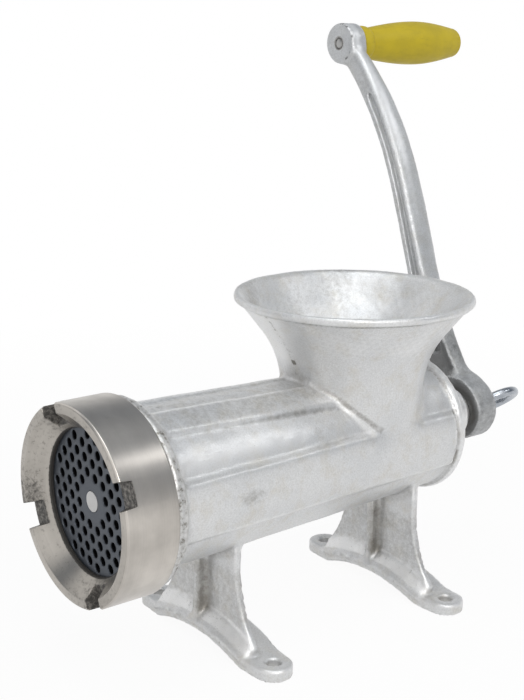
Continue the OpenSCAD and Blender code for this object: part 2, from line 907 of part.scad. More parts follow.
// Half section of the grip: a bead, a neck and a round-bellied body
module grip_outline() {
    body_start = grip_bead_length + grip_groove;
    belly = body_start + grip_belly * (grip_length - body_start);
    steps = 10;
    swell = function (r_low, t) r_low + (grip_r - r_low) * sin(90 * t);
    polygon(concat(
        [[0, 0], [grip_bead_r - grip_bead_round, 0], [grip_bead_r, grip_bead_round]],
        [[grip_bead_r, grip_bead_length]],
        [for (i = [0 : steps]) [swell(grip_neck_r, i / steps), body_start + (belly - body_start) * i / steps]],
        [
            for (i = [1 : steps])
                [swell(grip_end_r, 1 - i / steps), belly + (grip_length - grip_end_round - belly) * i / steps]
        ],
        [[grip_end_r - grip_end_round, grip_length], [0, grip_length]]
    ));
}

module grip() {
    head_depth = 2 * spindle_head + free_gap;
    color("goldenrod")
        on_axis(grip_x, grip_start_y, grip_z)
            difference() {
                rotate_extrude()
                    grip_outline();
                translate([0, 0, -over])
                    cylinder(h = grip_length + 2 * over, r = spindle_r + running_fit);
                translate([0, 0, grip_length - head_depth])
                    cylinder(h = head_depth + over, r = spindle_head_r + free_gap);
            }
}

body_casting();
rear_bush();
plate_key();
screw_ring();
hole_plate();
cross_knife();
auger();
auger_stud();
thrust_washer();
crank_arm();
thumb_screw();
grip_spindle();
grip_washer();
grip();
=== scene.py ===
# %% [markdown]
# # A hand-cranked meat grinder
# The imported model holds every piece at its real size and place. This lesson dresses it: each visible piece
# gets a surface worked out with numpy, and each finish a material made of nodes.

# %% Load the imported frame
import itertools
import json
import math

import bpy
import numpy as np
from mathutils import Matrix, Vector


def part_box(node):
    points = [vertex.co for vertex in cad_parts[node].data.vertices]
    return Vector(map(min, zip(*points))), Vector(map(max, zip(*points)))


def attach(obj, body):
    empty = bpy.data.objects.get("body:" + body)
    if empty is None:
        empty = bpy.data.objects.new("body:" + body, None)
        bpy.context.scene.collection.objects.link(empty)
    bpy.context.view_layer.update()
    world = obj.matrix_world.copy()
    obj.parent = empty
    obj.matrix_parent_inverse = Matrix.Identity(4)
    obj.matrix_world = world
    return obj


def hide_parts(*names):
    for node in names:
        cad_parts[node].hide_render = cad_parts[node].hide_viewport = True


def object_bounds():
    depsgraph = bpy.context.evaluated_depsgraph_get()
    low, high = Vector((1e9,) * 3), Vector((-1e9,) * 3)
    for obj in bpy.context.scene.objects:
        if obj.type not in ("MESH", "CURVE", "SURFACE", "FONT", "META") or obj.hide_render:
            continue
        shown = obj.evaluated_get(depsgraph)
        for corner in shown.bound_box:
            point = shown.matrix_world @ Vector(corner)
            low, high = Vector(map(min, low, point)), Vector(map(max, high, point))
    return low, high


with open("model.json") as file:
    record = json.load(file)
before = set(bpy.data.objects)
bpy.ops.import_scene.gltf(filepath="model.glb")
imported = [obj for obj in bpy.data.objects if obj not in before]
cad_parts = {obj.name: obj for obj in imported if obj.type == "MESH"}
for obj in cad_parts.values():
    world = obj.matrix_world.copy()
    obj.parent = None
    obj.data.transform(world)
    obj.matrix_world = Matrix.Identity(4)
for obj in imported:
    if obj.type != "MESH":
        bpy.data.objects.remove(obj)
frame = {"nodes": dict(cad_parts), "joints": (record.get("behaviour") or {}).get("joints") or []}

MM = 0.001
cad_low, cad_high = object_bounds()
joints = {joint["name"]: joint for joint in frame["joints"]}
axis_z = joints["crank_turn"]["pos_m"][2]
grip_x = joints["grip_turn"]["pos_m"][0]
grip_z = joints["grip_turn"]["pos_m"][2]
print("axis height", axis_z, "grip axis", grip_x, grip_z)

# %% [markdown]
# ## Camera
# The photograph looks at the outlet from the right, a little from above. Its place was found by fitting
# circles and edges of the grinder, so it is written as an aim point, two angles, a roll and a distance.

# %% Camera
PICTURE_HEIGHT = 700
SENSOR = 36.0
FOCAL_PIXELS = 1287.7
CAMERA_AIM = Vector((-27.9, -17.1, 184.9)) * MM
CAMERA_TURN = math.radians(51.65)
CAMERA_RISE = math.radians(14.70)
CAMERA_ROLL = math.radians(0.72)
CAMERA_DISTANCE = 881.6 * MM

back = Vector((
    math.sin(CAMERA_TURN) * math.cos(CAMERA_RISE),
    -math.cos(CAMERA_TURN) * math.cos(CAMERA_RISE),
    math.sin(CAMERA_RISE),
))
level_right = Vector((math.cos(CAMERA_TURN), math.sin(CAMERA_TURN), 0.0))
level_up = back.cross(level_right)
right = level_right * math.cos(CAMERA_ROLL) + level_up * math.sin(CAMERA_ROLL)
up = level_up * math.cos(CAMERA_ROLL) - level_right * math.sin(CAMERA_ROLL)


def add_object(name, data):
    """New object for a camera, lamp or mesh, linked into the scene."""
    made = bpy.data.objects.new(name, data)
    bpy.context.scene.collection.objects.link(made)
    return made


camera = add_object("camera", bpy.data.cameras.new("camera"))
camera.data.sensor_width = SENSOR
camera.data.lens = FOCAL_PIXELS * SENSOR / PICTURE_HEIGHT
camera.matrix_world = Matrix.Translation(CAMERA_AIM + back * CAMERA_DISTANCE) @ Matrix(
    (right, up, back)
).transposed().to_4x4()
bpy.context.scene.camera = camera
print("camera lens", round(camera.data.lens, 1), "mm")

# %% [markdown]
# ## Nodes in a line or two
# A material or node group is a tree of nodes. This helper places one node, sets its options, and fills its
# inputs with numbers or with links from other nodes, so that each finish below reads as a short recipe.


# %% Node helper
# A Mix node has sockets for each type of value, and these are the places of the share and of the two colours
MIX_SHARE, MIX_FIRST, MIX_SECOND, MIX_COLOUR = 0, 6, 7, 2


def place(tree, kind, inputs=None, **options):
    """One new node: options are its settings, and each input is a value or another node's output."""
    made = tree.nodes.new(kind)
    for name, value in options.items():
        setattr(made, name, value)
    for name, value in (inputs or {}).items():
        socket = made.inputs[name]
        if isinstance(value, bpy.types.NodeSocket):
            tree.links.new(value, socket)
        else:
            socket.default_value = value
    return made


def math_node(tree, operation, first, second=0.0, third=0.0):
    """Output of a Math node with up to three inputs."""
    return place(tree, "ShaderNodeMath", {0: first, 1: second, 2: third}, operation=operation).outputs[0]


def blend_colour(tree, share, first, second):
    """Output of a colour mix: first at share 0, second at share 1."""
    inputs = {MIX_SHARE: share, MIX_FIRST: first, MIX_SECOND: second}
    return place(tree, "ShaderNodeMix", inputs, data_type="RGBA").outputs[MIX_COLOUR]


def ramp(tree, value, low, high, out_low=0.0, out_high=1.0):
    """Output that rises from out_low at low to out_high at high, held at both ends."""
    inputs = {"Value": value, "From Min": low, "From Max": high, "To Min": out_low, "To Max": out_high}
    return place(tree, "ShaderNodeMapRange", inputs, clamp=True).outputs["Result"]


def object_place(tree):
    """Each point's place in its own object, which the patterns are laid on."""
    return place(tree, "ShaderNodeTexCoord").outputs["Object"]


def new_finish(name):
    """Empty material and its tree, ready for nodes."""
    finish = bpy.data.materials.new(name)
    finish.use_nodes = True
    finish.node_tree.nodes.clear()
    print("finish", name)
    return finish, finish.node_tree


# %% [markdown]
# ## Stage and light
# The object stands on plain white in soft studio light. The camera and mirror-like rays see a white world,
# while the light that falls on the object comes from a dim world and three soft lamps. Polished metal in an
# all-white room looks flat, so a photographer stands tall grey cards round it. The cards here show only in
# reflections: they darken the tops of the barrel and the ring and give them their shape. The widest lamp hangs
# overhead, so the hopper shades the barrel below it, and the feet and the inside of the hopper are bright.

# %% World
WORLD_LIGHT = 0.49
WHITE = (1.0, 1.0, 1.0, 1.0)


def seen_directly(tree):
    """1 for camera, glossy and transmission rays, and 0 for the others."""
    path = place(tree, "ShaderNodeLightPath")
    seen = math_node(tree, "MAXIMUM", path.outputs["Is Camera Ray"], path.outputs["Is Glossy Ray"])
    return math_node(tree, "MAXIMUM", seen, path.outputs["Is Transmission Ray"])


world = bpy.data.worlds.new("studio")
world.use_nodes = True
bpy.context.scene.world = world
tree = world.node_tree
tree.nodes.clear()
dim = place(tree, "ShaderNodeBackground", {"Color": WHITE, "Strength": WORLD_LIGHT})
white = place(tree, "ShaderNodeBackground", {"Color": WHITE, "Strength": 1.0})
both = place(tree, "ShaderNodeMixShader", {0: seen_directly(tree), 1: dim.outputs[0], 2: white.outputs[0]})
place(tree, "ShaderNodeOutputWorld", {"Surface": both.outputs[0]})
bpy.context.scene.view_settings.view_transform = "Standard"
print("world light", WORLD_LIGHT)

# %% Floor
FLOOR_HALF = 3.0
FLOOR_WHITE = (0.90, 0.90, 0.90, 1.0)
FLOOR_GLOW = 0.94
FADE_FROM, FADE_TO = 0.3, 0.9

floor_mesh = bpy.data.meshes.new("floor")
floor_corners = [(-FLOOR_HALF, -FLOOR_HALF, 0), (FLOOR_HALF, -FLOOR_HALF, 0), (FLOOR_HALF, FLOOR_HALF, 0),
                 (-FLOOR_HALF, FLOOR_HALF, 0)]
floor_mesh.from_pydata(floor_corners, [], [(0, 1, 2, 3)])
floor = add_object("floor", floor_mesh)
floor_finish, tree = new_finish("floor_white")
paper = place(tree, "ShaderNodeBsdfDiffuse", {"Color": FLOOR_WHITE})
glow = place(tree, "ShaderNodeEmission", {"Color": WHITE, "Strength": 1.0})
from_middle = place(tree, "ShaderNodeVectorMath", {0: object_place(tree)}, operation="LENGTH").outputs["Value"]
share = math_node(tree, "MULTIPLY", seen_directly(tree), ramp(tree, from_middle, FADE_FROM, FADE_TO, FLOOR_GLOW, 1.0))
both = place(tree, "ShaderNodeMixShader", {0: share, 1: paper.outputs[0], 2: glow.outputs[0]})
place(tree, "ShaderNodeOutputMaterial", {"Surface": both.outputs[0]})
floor_mesh.materials.append(floor_finish)

# %% Lamps
object_middle = (cad_low + cad_high) / 2


def soft_lamp(name, place_at, size, watts, tint):
    """Square area lamp that faces the object's middle, with a slight tint."""
    data = bpy.data.lights.new(name, "AREA")
    data.size = size
    data.energy = watts
    data.color = tint
    lamp = add_object(name, data)
    lamp.location = place_at
    lamp.rotation_euler = (object_middle - Vector(place_at)).to_track_quat("-Z", "Y").to_euler()
    print(name, watts, "W")


soft_lamp("top_lamp", (0.25, -0.25, 2.0), size=1.1, watts=7.3, tint=(0.92, 0.97, 1.0))
soft_lamp("front_lamp", (1.48, -0.65, 1.21), size=0.8, watts=10.6, tint=(1.0, 0.99, 0.975))
soft_lamp("rear_lamp", (0.82, 0.97, 1.40), size=0.30, watts=2.2, tint=(1.0, 1.0, 1.0))

# %% Grey cards
CARD_GREY = (0.22, 0.245, 0.28, 1.0)
CARD_DISTANCE = 2.0
CARD_HEIGHT = 5.5
CARD_STEPS = 32


def studio_card(name, angle_from, angle_to, fade):
    """Curved card round the object, seen only by glossy rays: x = d sin a, y = d cos a, z from 0 to its height.

    Its foot fades to white up to a given height, as a card does that stands on a bright floor.
    """
    angle = np.linspace(math.radians(angle_from), math.radians(angle_to), CARD_STEPS + 1)
    edge = np.stack([CARD_DISTANCE * np.sin(angle), CARD_DISTANCE * np.cos(angle), 0 * angle], 1)
    points = np.concatenate([edge, edge + [0.0, 0.0, CARD_HEIGHT]])
    k = np.arange(CARD_STEPS)
    upper = k + CARD_STEPS + 1
    mesh = bpy.data.meshes.new(name)
    mesh.from_pydata(points.tolist(), [], np.stack([k, k + 1, upper + 1, upper], 1).tolist())
    finish, tree = new_finish(name)
    height = place(tree, "ShaderNodeSeparateXYZ", {"Vector": object_place(tree)}).outputs["Z"]
    tone = blend_colour(tree, ramp(tree, height, 0.2 * fade, fade), WHITE, CARD_GREY)
    glow = place(tree, "ShaderNodeEmission", {"Color": tone, "Strength": 1.0})
    place(tree, "ShaderNodeOutputMaterial", {"Surface": glow.outputs[0]})
    mesh.materials.append(finish)
    card = add_object(name, mesh)
    card.visible_camera = False
    card.visible_diffuse = False
    card.visible_shadow = False


studio_card("rear_card", -94, 15, fade=1.9)
studio_card("right_card", 15, 70, fade=0.5)
studio_card("front_card", -165, -132, fade=0.6)

# %% [markdown]
# ## From numpy arrays to pieces
# A piece is an array of points and an array of faces. The helper checks which way the faces point by the
# signed volume they enclose, turns them outwards if need be, and lets the finished piece ride on its body.


# %% Piece helper
def signed_volume(points, faces):
    """Sum of the tetrahedra from the origin to each triangle: positive when faces point outwards."""
    corners = points[faces]
    total = 0.0
    for k in range(1, faces.shape[1] - 1):
        total += np.einsum("ij,ij->", corners[:, 0], np.cross(corners[:, k], corners[:, k + 1])) / 6
    return total


def make_piece(name, shells, body, slot, finish, nodes=(), sharp=None, **attributes):
    """Mesh object from shells of points and one or more face arrays, with values per point as attributes."""
    points = np.concatenate([shell[0] for shell in shells])
    corners = []
    sizes = []
    start = 0
    for shell_points, *face_arrays in shells:
        outwards = sum(signed_volume(shell_points, faces) for faces in face_arrays) > 0
        for faces in face_arrays:
            turned = faces if outwards else faces[:, ::-1]
            corners.append((turned + start).ravel())
            sizes.append(np.full(len(faces), faces.shape[1]))
        start += len(shell_points)
    corners = np.concatenate(corners).astype(np.int32)
    sizes = np.concatenate(sizes)
    mesh = bpy.data.meshes.new(name)
    mesh.vertices.add(len(points))
    mesh.vertices.foreach_set("co", points.astype(np.float32).ravel())
    mesh.loops.add(len(corners))
    mesh.loops.foreach_set("vertex_index", corners)
    mesh.polygons.add(len(sizes))
    mesh.polygons.foreach_set("loop_start", (np.cumsum(sizes) - sizes).astype(np.int32))
    mesh.update(calc_edges=True)
    mesh.validate()
    for key, values in attributes.items():
        layer = mesh.attributes.new(key, "FLOAT", "POINT")
        layer.data.foreach_set("value", values.astype(np.float32))
    mesh.polygons.foreach_set("use_smooth", np.ones(len(mesh.polygons), bool))
    if sharp is not None:
        mesh.set_sharp_from_angle(angle=math.radians(sharp))
    mesh.materials.append(finish)
    piece = add_object(name, mesh)
    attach(piece, body)
    if nodes:
        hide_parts(*nodes)
    print(name, len(mesh.vertices), "points", len(mesh.polygons), "faces")


# %% [markdown]
# ## Castings as fields
# A casting has soft corners everywhere: the moulder rounds every edge and fills every inner corner. Modelling
# each fillet by hand is slow, so the shape is written as a field instead: a formula that gives the distance
# to the surface, negative inside. Joining two fields with a rounded minimum makes the fillet by itself.


# %% Field helpers
PULLS = 3


def round_min(a, b, width):
    """Lower of two fields, with a fillet where they are within width of each other."""
    near = np.maximum(width - np.abs(a - b), 0.0) / width
    return np.minimum(a, b) - near * near * width / 4


def round_max(a, b, width):
    """Higher of two fields, with a rounded edge where they are within width of each other."""
    return -round_min(-a, -b, width)


def field_surface(field, low, high, step):
    """Points and quads where a field is zero, by surface nets.

    The field is worked out on a whole grid at once. Each cell that the surface crosses gets one point, the mean
    of the crossings on its twelve edges. Each crossed grid edge joins the points of the four cells round it.
    The points are then pulled onto the surface along the field's slope.
    """
    sides = [np.arange(a, b + step, step) for a, b in zip(low, high)]
    value = field(*np.meshgrid(*sides, indexing="ij"))
    inside = value < 0.0
    count = np.zeros(np.array(value.shape) - 1, np.int8)
    for offset in itertools.product((0, 1), repeat=3):
        count += inside[tuple(slice(o, o + n) for o, n in zip(offset, count.shape))]
    cells = np.argwhere((count > 0) & (count < 8))
    total = np.zeros((len(cells), 3))
    hits = np.zeros(len(cells))
    for axis, one, two in itertools.product(range(3), (0, 1), (0, 1)):
        start = cells.copy()
        start[:, (axis + 1) % 3] += one
        start[:, (axis + 2) % 3] += two
        end = start + np.eye(3, dtype=int)[axis]
        a = value[tuple(start.T)]
        b = value[tuple(end.T)]
        crossed = (a < 0) != (b < 0)
        share = a / np.where(crossed, a - b, 1.0)
        total += (start + share[:, None] * np.eye(3)[axis]) * crossed[:, None]
        hits += crossed
    points = np.array([side[0] for side in sides]) + step * total / hits[:, None]

    number = np.full(count.shape, -1)
    number[tuple(cells.T)] = np.arange(len(cells))
    quads = []
    for axis in range(3):
        first = np.eye(3, dtype=int)[(axis + 1) % 3]
        second = np.eye(3, dtype=int)[(axis + 2) % 3]
        before = np.delete(inside, -1, axis)
        after = np.delete(inside, 0, axis)
        edges = np.argwhere(before != after)
        quad = np.stack([
            number[tuple((edges - shift).T)] for shift in (0 * first, first, first + second, second)
        ], axis=1)
        leaving = before[tuple(edges.T)]
        quad[leaving] = quad[leaving][:, ::-1]
        quads.append(quad)
    quads = np.concatenate(quads)
    for _ in range(PULLS):
        slope = field_slope(field, points, step / 4)
        value = field(*points.T)
        move = value[:, None] * slope / np.maximum((slope * slope).sum(1), 0.2)[:, None]
        points = points - np.clip(move, -step, step)
    return points, quads


def field_slope(field, points, gap):
    """Slope of a field at each point, from the values a small gap to either side."""
    x, y, z = points.T
    return np.stack([
        field(x + gap, y, z) - field(x - gap, y, z),
        field(x, y + gap, z) - field(x, y - gap, z),
        field(x, y, z + gap) - field(x, y, z - gap),
    ], axis=1) / (2 * gap)


def sheltered(field, points, reach):
    """How enclosed each point is, from 0 in the open to 1 in a corner.

    At a distance d out from a flat surface the field is d. Where other surfaces are near it is less, so the
    shortfall, averaged over a few distances, measures how sheltered the point is.
    """
    slope = field_slope(field, points, 0.2 * MM)
    out = slope / np.linalg.norm(slope, axis=1)[:, None]
    lost = [1 - field(*(points + out * d).T) / d for d in np.array([0.25, 0.5, 1.0]) * reach]
    return np.clip(np.mean(lost, axis=0), 0.0, 1.0)


def bent(field, points, radius):
    """Bend of the surface: 1 on an edge of the given radius, -1 in a fillet of that radius, 0 on a flat.

    The sum of a distance field's second slopes is its curvature, worked out here from six values a radius away.
    """
    gap = 0.7 * radius
    total = -6 * field(*points.T)
    for step in gap * np.concatenate([np.eye(3), -np.eye(3)]):
        total = total + field(*(points + step).T)
    return np.clip(total / gap**2 * radius, -1.0, 1.0)


# %% [markdown]
# ## The finish of the castings
# Hot tinning leaves iron silvery white and satin, with the sand's grain showing through and a few darker pits.
# Edges are rubbed bright, and brown dirt stays where a cloth doesn't reach. Shade and highlights are painted in as
# colour too: shade in sheltered corners, creases and under parts, highlights on edges and some sides. The grain is
# a node group, because the body, the crank and the auger share it. Wear, dirt and painted light follow attributes
# that each casting's field works out: how sheltered a point is, how the surface bends there, and where this
# grinder is worn, soiled and shaded.


# %% Casting grain group
def new_group(name, inputs, outputs):
    """Empty shader node group with float inputs and outputs of the given names."""
    group = bpy.data.node_groups.new(name, "ShaderNodeTree")
    for label, value in inputs.items():
        socket = group.interface.new_socket(label, in_out="INPUT", socket_type="NodeSocketFloat")
        socket.default_value = value
    for label in outputs:
        group.interface.new_socket(label, in_out="OUTPUT", socket_type="NodeSocketFloat")
    return group, place(group, "NodeGroupInput").outputs, place(group, "NodeGroupOutput").inputs


def noise(tree, vector, scale, detail=3.0, roughness=0.55):
    """Output of a noise texture, from 0 to 1 with a mean of about a half."""
    inputs = {"Vector": vector, "Scale": scale, "Detail": detail, "Roughness": roughness}
    return place(tree, "ShaderNodeTexNoise", inputs).outputs["Fac"]


def put_out(group, result, feeds):
    """Wire each named value to the group's output of that name."""
    for label, value in feeds.items():
        group.links.new(value, result[label])
    print("group", group.name, "puts out", sorted(feeds))


# Scale per metre, detail and roughness of each noise
GRAIN_NOISES = {
    "lumps": (150.0, 3.0, 0.5),
    "swell": (45.0, 2.0, 0.5),
    "stain": (22.0, 5.0, 0.6),
    "blotch": (70.0, 4.0, 0.65),
    "pits": (330.0, 2.0, 0.6),
    "patches": (35.0, 2.0, 0.5),
    "sparkle": (900.0, 3.0, 0.75),
    "speckle": (260.0, 4.0, 0.7),
}
grain_group, given, result = new_group(
    "casting_grain", {"Grain": 800.0}, ("Height", "Stain", "Blotch", "Pits", "Sparkle", "Speckle")
)
here = object_place(grain_group)
fine = noise(grain_group, here, given["Grain"], 3.0, 0.6)
grain = {name: noise(grain_group, here, *values) for name, values in GRAIN_NOISES.items()}
relief = math_node(grain_group, "MULTIPLY_ADD", grain["lumps"], 1.8, fine)
pitted = ramp(grain_group, grain["pits"], 0.77, 0.85)
patched = ramp(grain_group, grain["patches"], 0.52, 0.66)
put_out(grain_group, result, {
    "Height": math_node(grain_group, "MULTIPLY_ADD", grain["swell"], 10.0, relief),
    "Stain": ramp(grain_group, grain["stain"], 0.42, 0.72),
    "Blotch": ramp(grain_group, grain["blotch"], 0.48, 0.75),
    "Pits": math_node(grain_group, "MULTIPLY", pitted, patched),
    "Sparkle": ramp(grain_group, grain["sparkle"], 0.30, 0.70),
    "Speckle": grain["speckle"],
})


# %% Casting materials
def principled(tree, inputs):
    """Principled shader wired to the material's output."""
    shader = place(tree, "ShaderNodeBsdfPrincipled", inputs)
    place(tree, "ShaderNodeOutputMaterial", {"Surface": shader.outputs[0]})


def bump(tree, height, distance, strength=1.0):
    """Normal from a height field whose full swing is distance metres."""
    inputs = {"Height": height, "Distance": distance, "Strength": strength}
    return place(tree, "ShaderNodeBump", inputs).outputs["Normal"]


def attribute(tree, name):
    """A value that the piece's mesh carries at each point."""
    return place(tree, "ShaderNodeAttribute", attribute_name=name).outputs["Fac"]


def tinned_finish(name, tones, grain, metallic, rough, relief):
    """Tinned casting: tones are bright metal, cool stains, warm blotches, rubbed edges with painted highlights, and
    dirt with painted shade.

    Dirt and painted shade lie where the surface is sheltered, bends inwards or carries the soiled-and-shaded share,
    and in dark specks where it is worn. Painted highlights lie where the surface bends outwards.
    """
    bright, cool, warm, polished_and_highlit_tone, dirt_and_shade_tone = tones
    finish, tree = new_finish(name)
    seen = place(tree, "ShaderNodeGroup", {"Grain": grain}, node_tree=grain_group).outputs
    colour = blend_colour(tree, math_node(tree, "MULTIPLY", seen["Stain"], 0.7), bright, cool)
    colour = blend_colour(tree, math_node(tree, "MULTIPLY", seen["Blotch"], 0.7), colour, warm)
    colour = blend_colour(tree, ramp(tree, seen["Sparkle"], 0.0, 1.0, 0.25, 0.0), colour, dirt_and_shade_tone)
    # Painted highlight with rubbed wear: convex bends take the bright tone of rubbed edges.
    bend = attribute(tree, "bend")
    rubbed_and_highlit = ramp(tree, bend, 0.25, 0.9, 0.0, 0.75)
    colour = blend_colour(tree, rubbed_and_highlit, colour, polished_and_highlit_tone)
    # Painted shade with dirt: sheltered corners, inward creases and the soiled-and-shaded share darken towards the dark
    # tone.
    patchy = ramp(tree, seen["Speckle"], 0.3, 0.6, 0.45, 1.0)
    corner = ramp(tree, attribute(tree, "sheltered"), 0.22, 0.75, 0.0, 0.75)
    crease = ramp(tree, bend, -0.95, -0.25, 0.55, 0.0)
    corner = math_node(tree, "MULTIPLY", math_node(tree, "MAXIMUM", corner, crease), patchy)
    soil_and_shade = math_node(tree, "MULTIPLY_ADD", seen["Speckle"], 0.8, attribute(tree, "soiled"))
    soil_and_shade = ramp(tree, soil_and_shade, 0.70, 1.35, 0.0, 0.8)
    colour = blend_colour(tree, math_node(tree, "MAXIMUM", corner, soil_and_shade), colour, dirt_and_shade_tone)
    # Dark specks where the surface is worn; in the crank's hub recess this share is painted shade.
    specks = math_node(tree, "ADD", attribute(tree, "worn"), seen["Speckle"])
    specks = ramp(tree, specks, 1.00, 1.12, 0.0, 0.8)
    specks = math_node(tree, "MAXIMUM", specks, math_node(tree, "MULTIPLY", seen["Pits"], 0.3))
    colour = blend_colour(tree, specks, colour, dirt_and_shade_tone)
    roughness = ramp(tree, seen["Sparkle"], 0.0, 1.0, rough + 0.12, rough - 0.10)
    roughness = math_node(tree, "MULTIPLY_ADD", rubbed_and_highlit, -0.05, roughness)
    principled(tree, {
        "Base Color": colour,
        "Metallic": metallic,
        "Roughness": roughness,
        "Normal": bump(tree, seen["Height"], relief, 0.6),
    })
    return finish


# Tones: bright metal, cool stains, warm blotches, rubbed edges with painted highlights, dirt with painted shade.
tin_tones = (
    (0.77, 0.775, 0.78, 1),
    (0.68, 0.695, 0.715, 1),
    (0.66, 0.63, 0.57, 1),
    (0.94, 0.94, 0.94, 1),
    (0.14, 0.125, 0.10, 1),
)
crank_tones = (
    (0.67, 0.68, 0.69, 1),
    (0.55, 0.565, 0.585, 1),
    (0.54, 0.535, 0.51, 1),
    (0.88, 0.885, 0.89, 1),
    (0.07, 0.070, 0.068, 1),
)
tinned = tinned_finish("tinned_casting", tin_tones, grain=1000.0, metallic=0.52, rough=0.38, relief=0.24 * MM)
crank_metal = tinned_finish("crank_casting", crank_tones, grain=700.0, metallic=0.55, rough=0.44, relief=0.22 * MM)

# %% [markdown]
# ## The body casting
# Barrel, hopper, legs and feet are one casting. Its field is put together the way a pattern maker would:
# turned shapes for the barrel, collar, flange, boss and hopper, plates for the legs, an arched bar for each
# foot, all joined with fillets, and then the bore, the throat and the bolt holes taken out.

# %% Sizes of the body casting
casting_low, casting_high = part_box("body_casting")
mouth_y = casting_low.y
boss_end_y = casting_high.y
rim_z = casting_high.z
rim_r = casting_high.x
plate_low, plate_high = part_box("hole_plate")
plate_seat_y = plate_high.y + 0.3 * MM
hopper_y = 41 * MM
collar_front_y = mouth_y + 19.5 * MM
collar_rear_y = collar_front_y + 6.5 * MM
flange_rear_y = 109 * MM
flange_front_y = flange_rear_y - 9 * MM
rear_inner_y = flange_rear_y - 12 * MM
BARREL_FRONT_R = 52.5 * MM
BARREL_TAPER = 6.0 * MM
BAND_HALF = 19.5 * MM
BAND_RAISE = 3.5 * MM
LONG_RIB_HALF = 9.5 * MM
LONG_RIB_RAISE = 2.2 * MM
LONG_RIB_FALL = 2.0 * MM
COLLAR_R = 61.5 * MM
MOUTH_R = 56.6 * MM
FLANGE_R = 49.5 * MM
BOSS_R = 20 * MM
BORE_FRONT_R = 45 * MM
BORE_TAPER = 5 * MM
POCKET_R = 50.3 * MM
BEARING_R = 16.8 * MM
BOLT_R = 5 * MM
BEAD_R = 2.7 * MM
bell_outside = (49.5 * MM, axis_z + 36 * MM, 72 * MM, rim_r - 1.0 * MM, rim_z - 2 * MM)
bell_inside = (40 * MM, axis_z + 32 * MM, 64 * MM, rim_r - 5 * MM, rim_z)
bolt_x = 65 * MM
bolt_y = 78 * MM
foot_r = 12.5 * MM
foot_mid_half = 15 * MM
foot_thickness = 8 * MM
arch_rise = 10 * MM
arch_half = 48 * MM
WEB_Y = -4.0 * MM
WEB_HALF_DEPTH = 2.6 * MM
WEB_SPREAD = 19 * MM
WEB_SPREAD_Z = 64 * MM
WEB_SPREAD_DROP = 50 * MM
RIB_X = -1.5 * MM
RIB_HALF = 3.0 * MM
FRONT_LEG = (-bolt_y, 32.5 * MM)
REAR_LEG = (bolt_y, 35.0 * MM)
print("hopper rim", round(rim_r / MM, 1), "mm, at height", round(rim_z / MM, 1), "mm")


# %% Fields of the body casting
def flare(z, neck, start, bend, rim, top):
    """Radius of a bell at height z: a straight neck, an arc of radius bend, then a cone that touches the arc."""
    centre = neck + bend
    across = rim - centre
    rise = top - start
    touch = math.atan2(rise, across) + math.acos(bend / math.hypot(across, rise))
    touch_r = centre + bend * math.cos(touch)
    touch_z = start + bend * math.sin(touch)
    climbed = np.clip(z - start, 0.0, touch_z - start)
    arc = centre - np.sqrt(bend * bend - climbed * climbed)
    return arc + np.maximum(z - touch_z, 0.0) * (rim - touch_r) / (top - touch_z)


def bell_field(r, z, *bell):
    """Distance to a bell: how far outside its radius, times the cosine of its wall's slope."""
    gap = 0.5 * MM
    slope = (flare(z + gap, *bell) - flare(z - gap, *bell)) / (2 * gap)
    return (r - flare(z, *bell)) / np.sqrt(1 + slope * slope)


def disc_field(r, y, radius, y1, y2, edge):
    """Distance to a round disc along the barrel's axis, with rounded edges."""
    return round_max(r - radius, np.abs(y - (y1 + y2) / 2) - (y2 - y1) / 2, edge)


def barrel_share(y):
    """Place along the barrel: 0 at the collar's rear and 1 at the flange's front."""
    return (y - collar_rear_y) / (flange_front_y - collar_rear_y)


def barrel_r(y):
    """Radius of the barrel's plain cone."""
    return BARREL_FRONT_R - BARREL_TAPER * barrel_share(y)


def bore_r(y):
    """Radius of the tapered bore that the auger's flight runs in."""
    return BORE_FRONT_R - BORE_TAPER * (y - plate_seat_y) / (rear_inner_y - plate_seat_y)


def across_rib(x, y, rise):
    """Way round the barrel from the middle of the nearer long rib, positive downwards."""
    return (np.arctan2(np.abs(x), rise) - np.radians(23 + 5 * barrel_share(y))) * barrel_r(y)


def barrel_field(x, y, rise):
    """Distance to the barrel: a cone with a raised band along each side and two long ribs on its top."""
    over = np.hypot(x, rise) - barrel_r(y)
    ends = np.maximum(y - flange_front_y, collar_front_y - y)
    band = round_max(np.abs(rise + 0.5 * MM) - BAND_HALF, over - BAND_RAISE, 3 * MM)
    barrel = round_min(np.maximum(over, ends), np.maximum(band, ends), 3 * MM)
    rib_raise = LONG_RIB_RAISE - LONG_RIB_FALL * np.clip(barrel_share(y), 0.0, 1.0)
    rib = round_max(np.abs(across_rib(x, y, rise)) - LONG_RIB_HALF, over - rib_raise, 3 * MM)
    return round_min(barrel, np.maximum(np.maximum(rib, ends), y - hopper_y), 5 * MM)


def with_turned_ends(body, r, y):
    """Field with the collar, the mouth, the flange, the crevice in front of it and the bearing boss added."""
    body = round_min(body, disc_field(r, y, COLLAR_R, collar_front_y, collar_rear_y, 2.5 * MM), 9 * MM)
    body = round_min(body, disc_field(r, y, MOUTH_R, mouth_y, collar_front_y + 2 * MM, 1.5 * MM), 1 * MM)
    body = round_min(body, disc_field(r, y, FLANGE_R, flange_front_y, flange_rear_y, 5 * MM), 1.5 * MM)
    crevice = np.hypot(r - FLANGE_R + 0.9 * MM, y - flange_front_y + 0.4 * MM) - 1.7 * MM
    body = round_max(body, -crevice, 1 * MM)
    return round_min(body, disc_field(r, y, BOSS_R, rear_inner_y, boss_end_y, 2 * MM), 5 * MM)


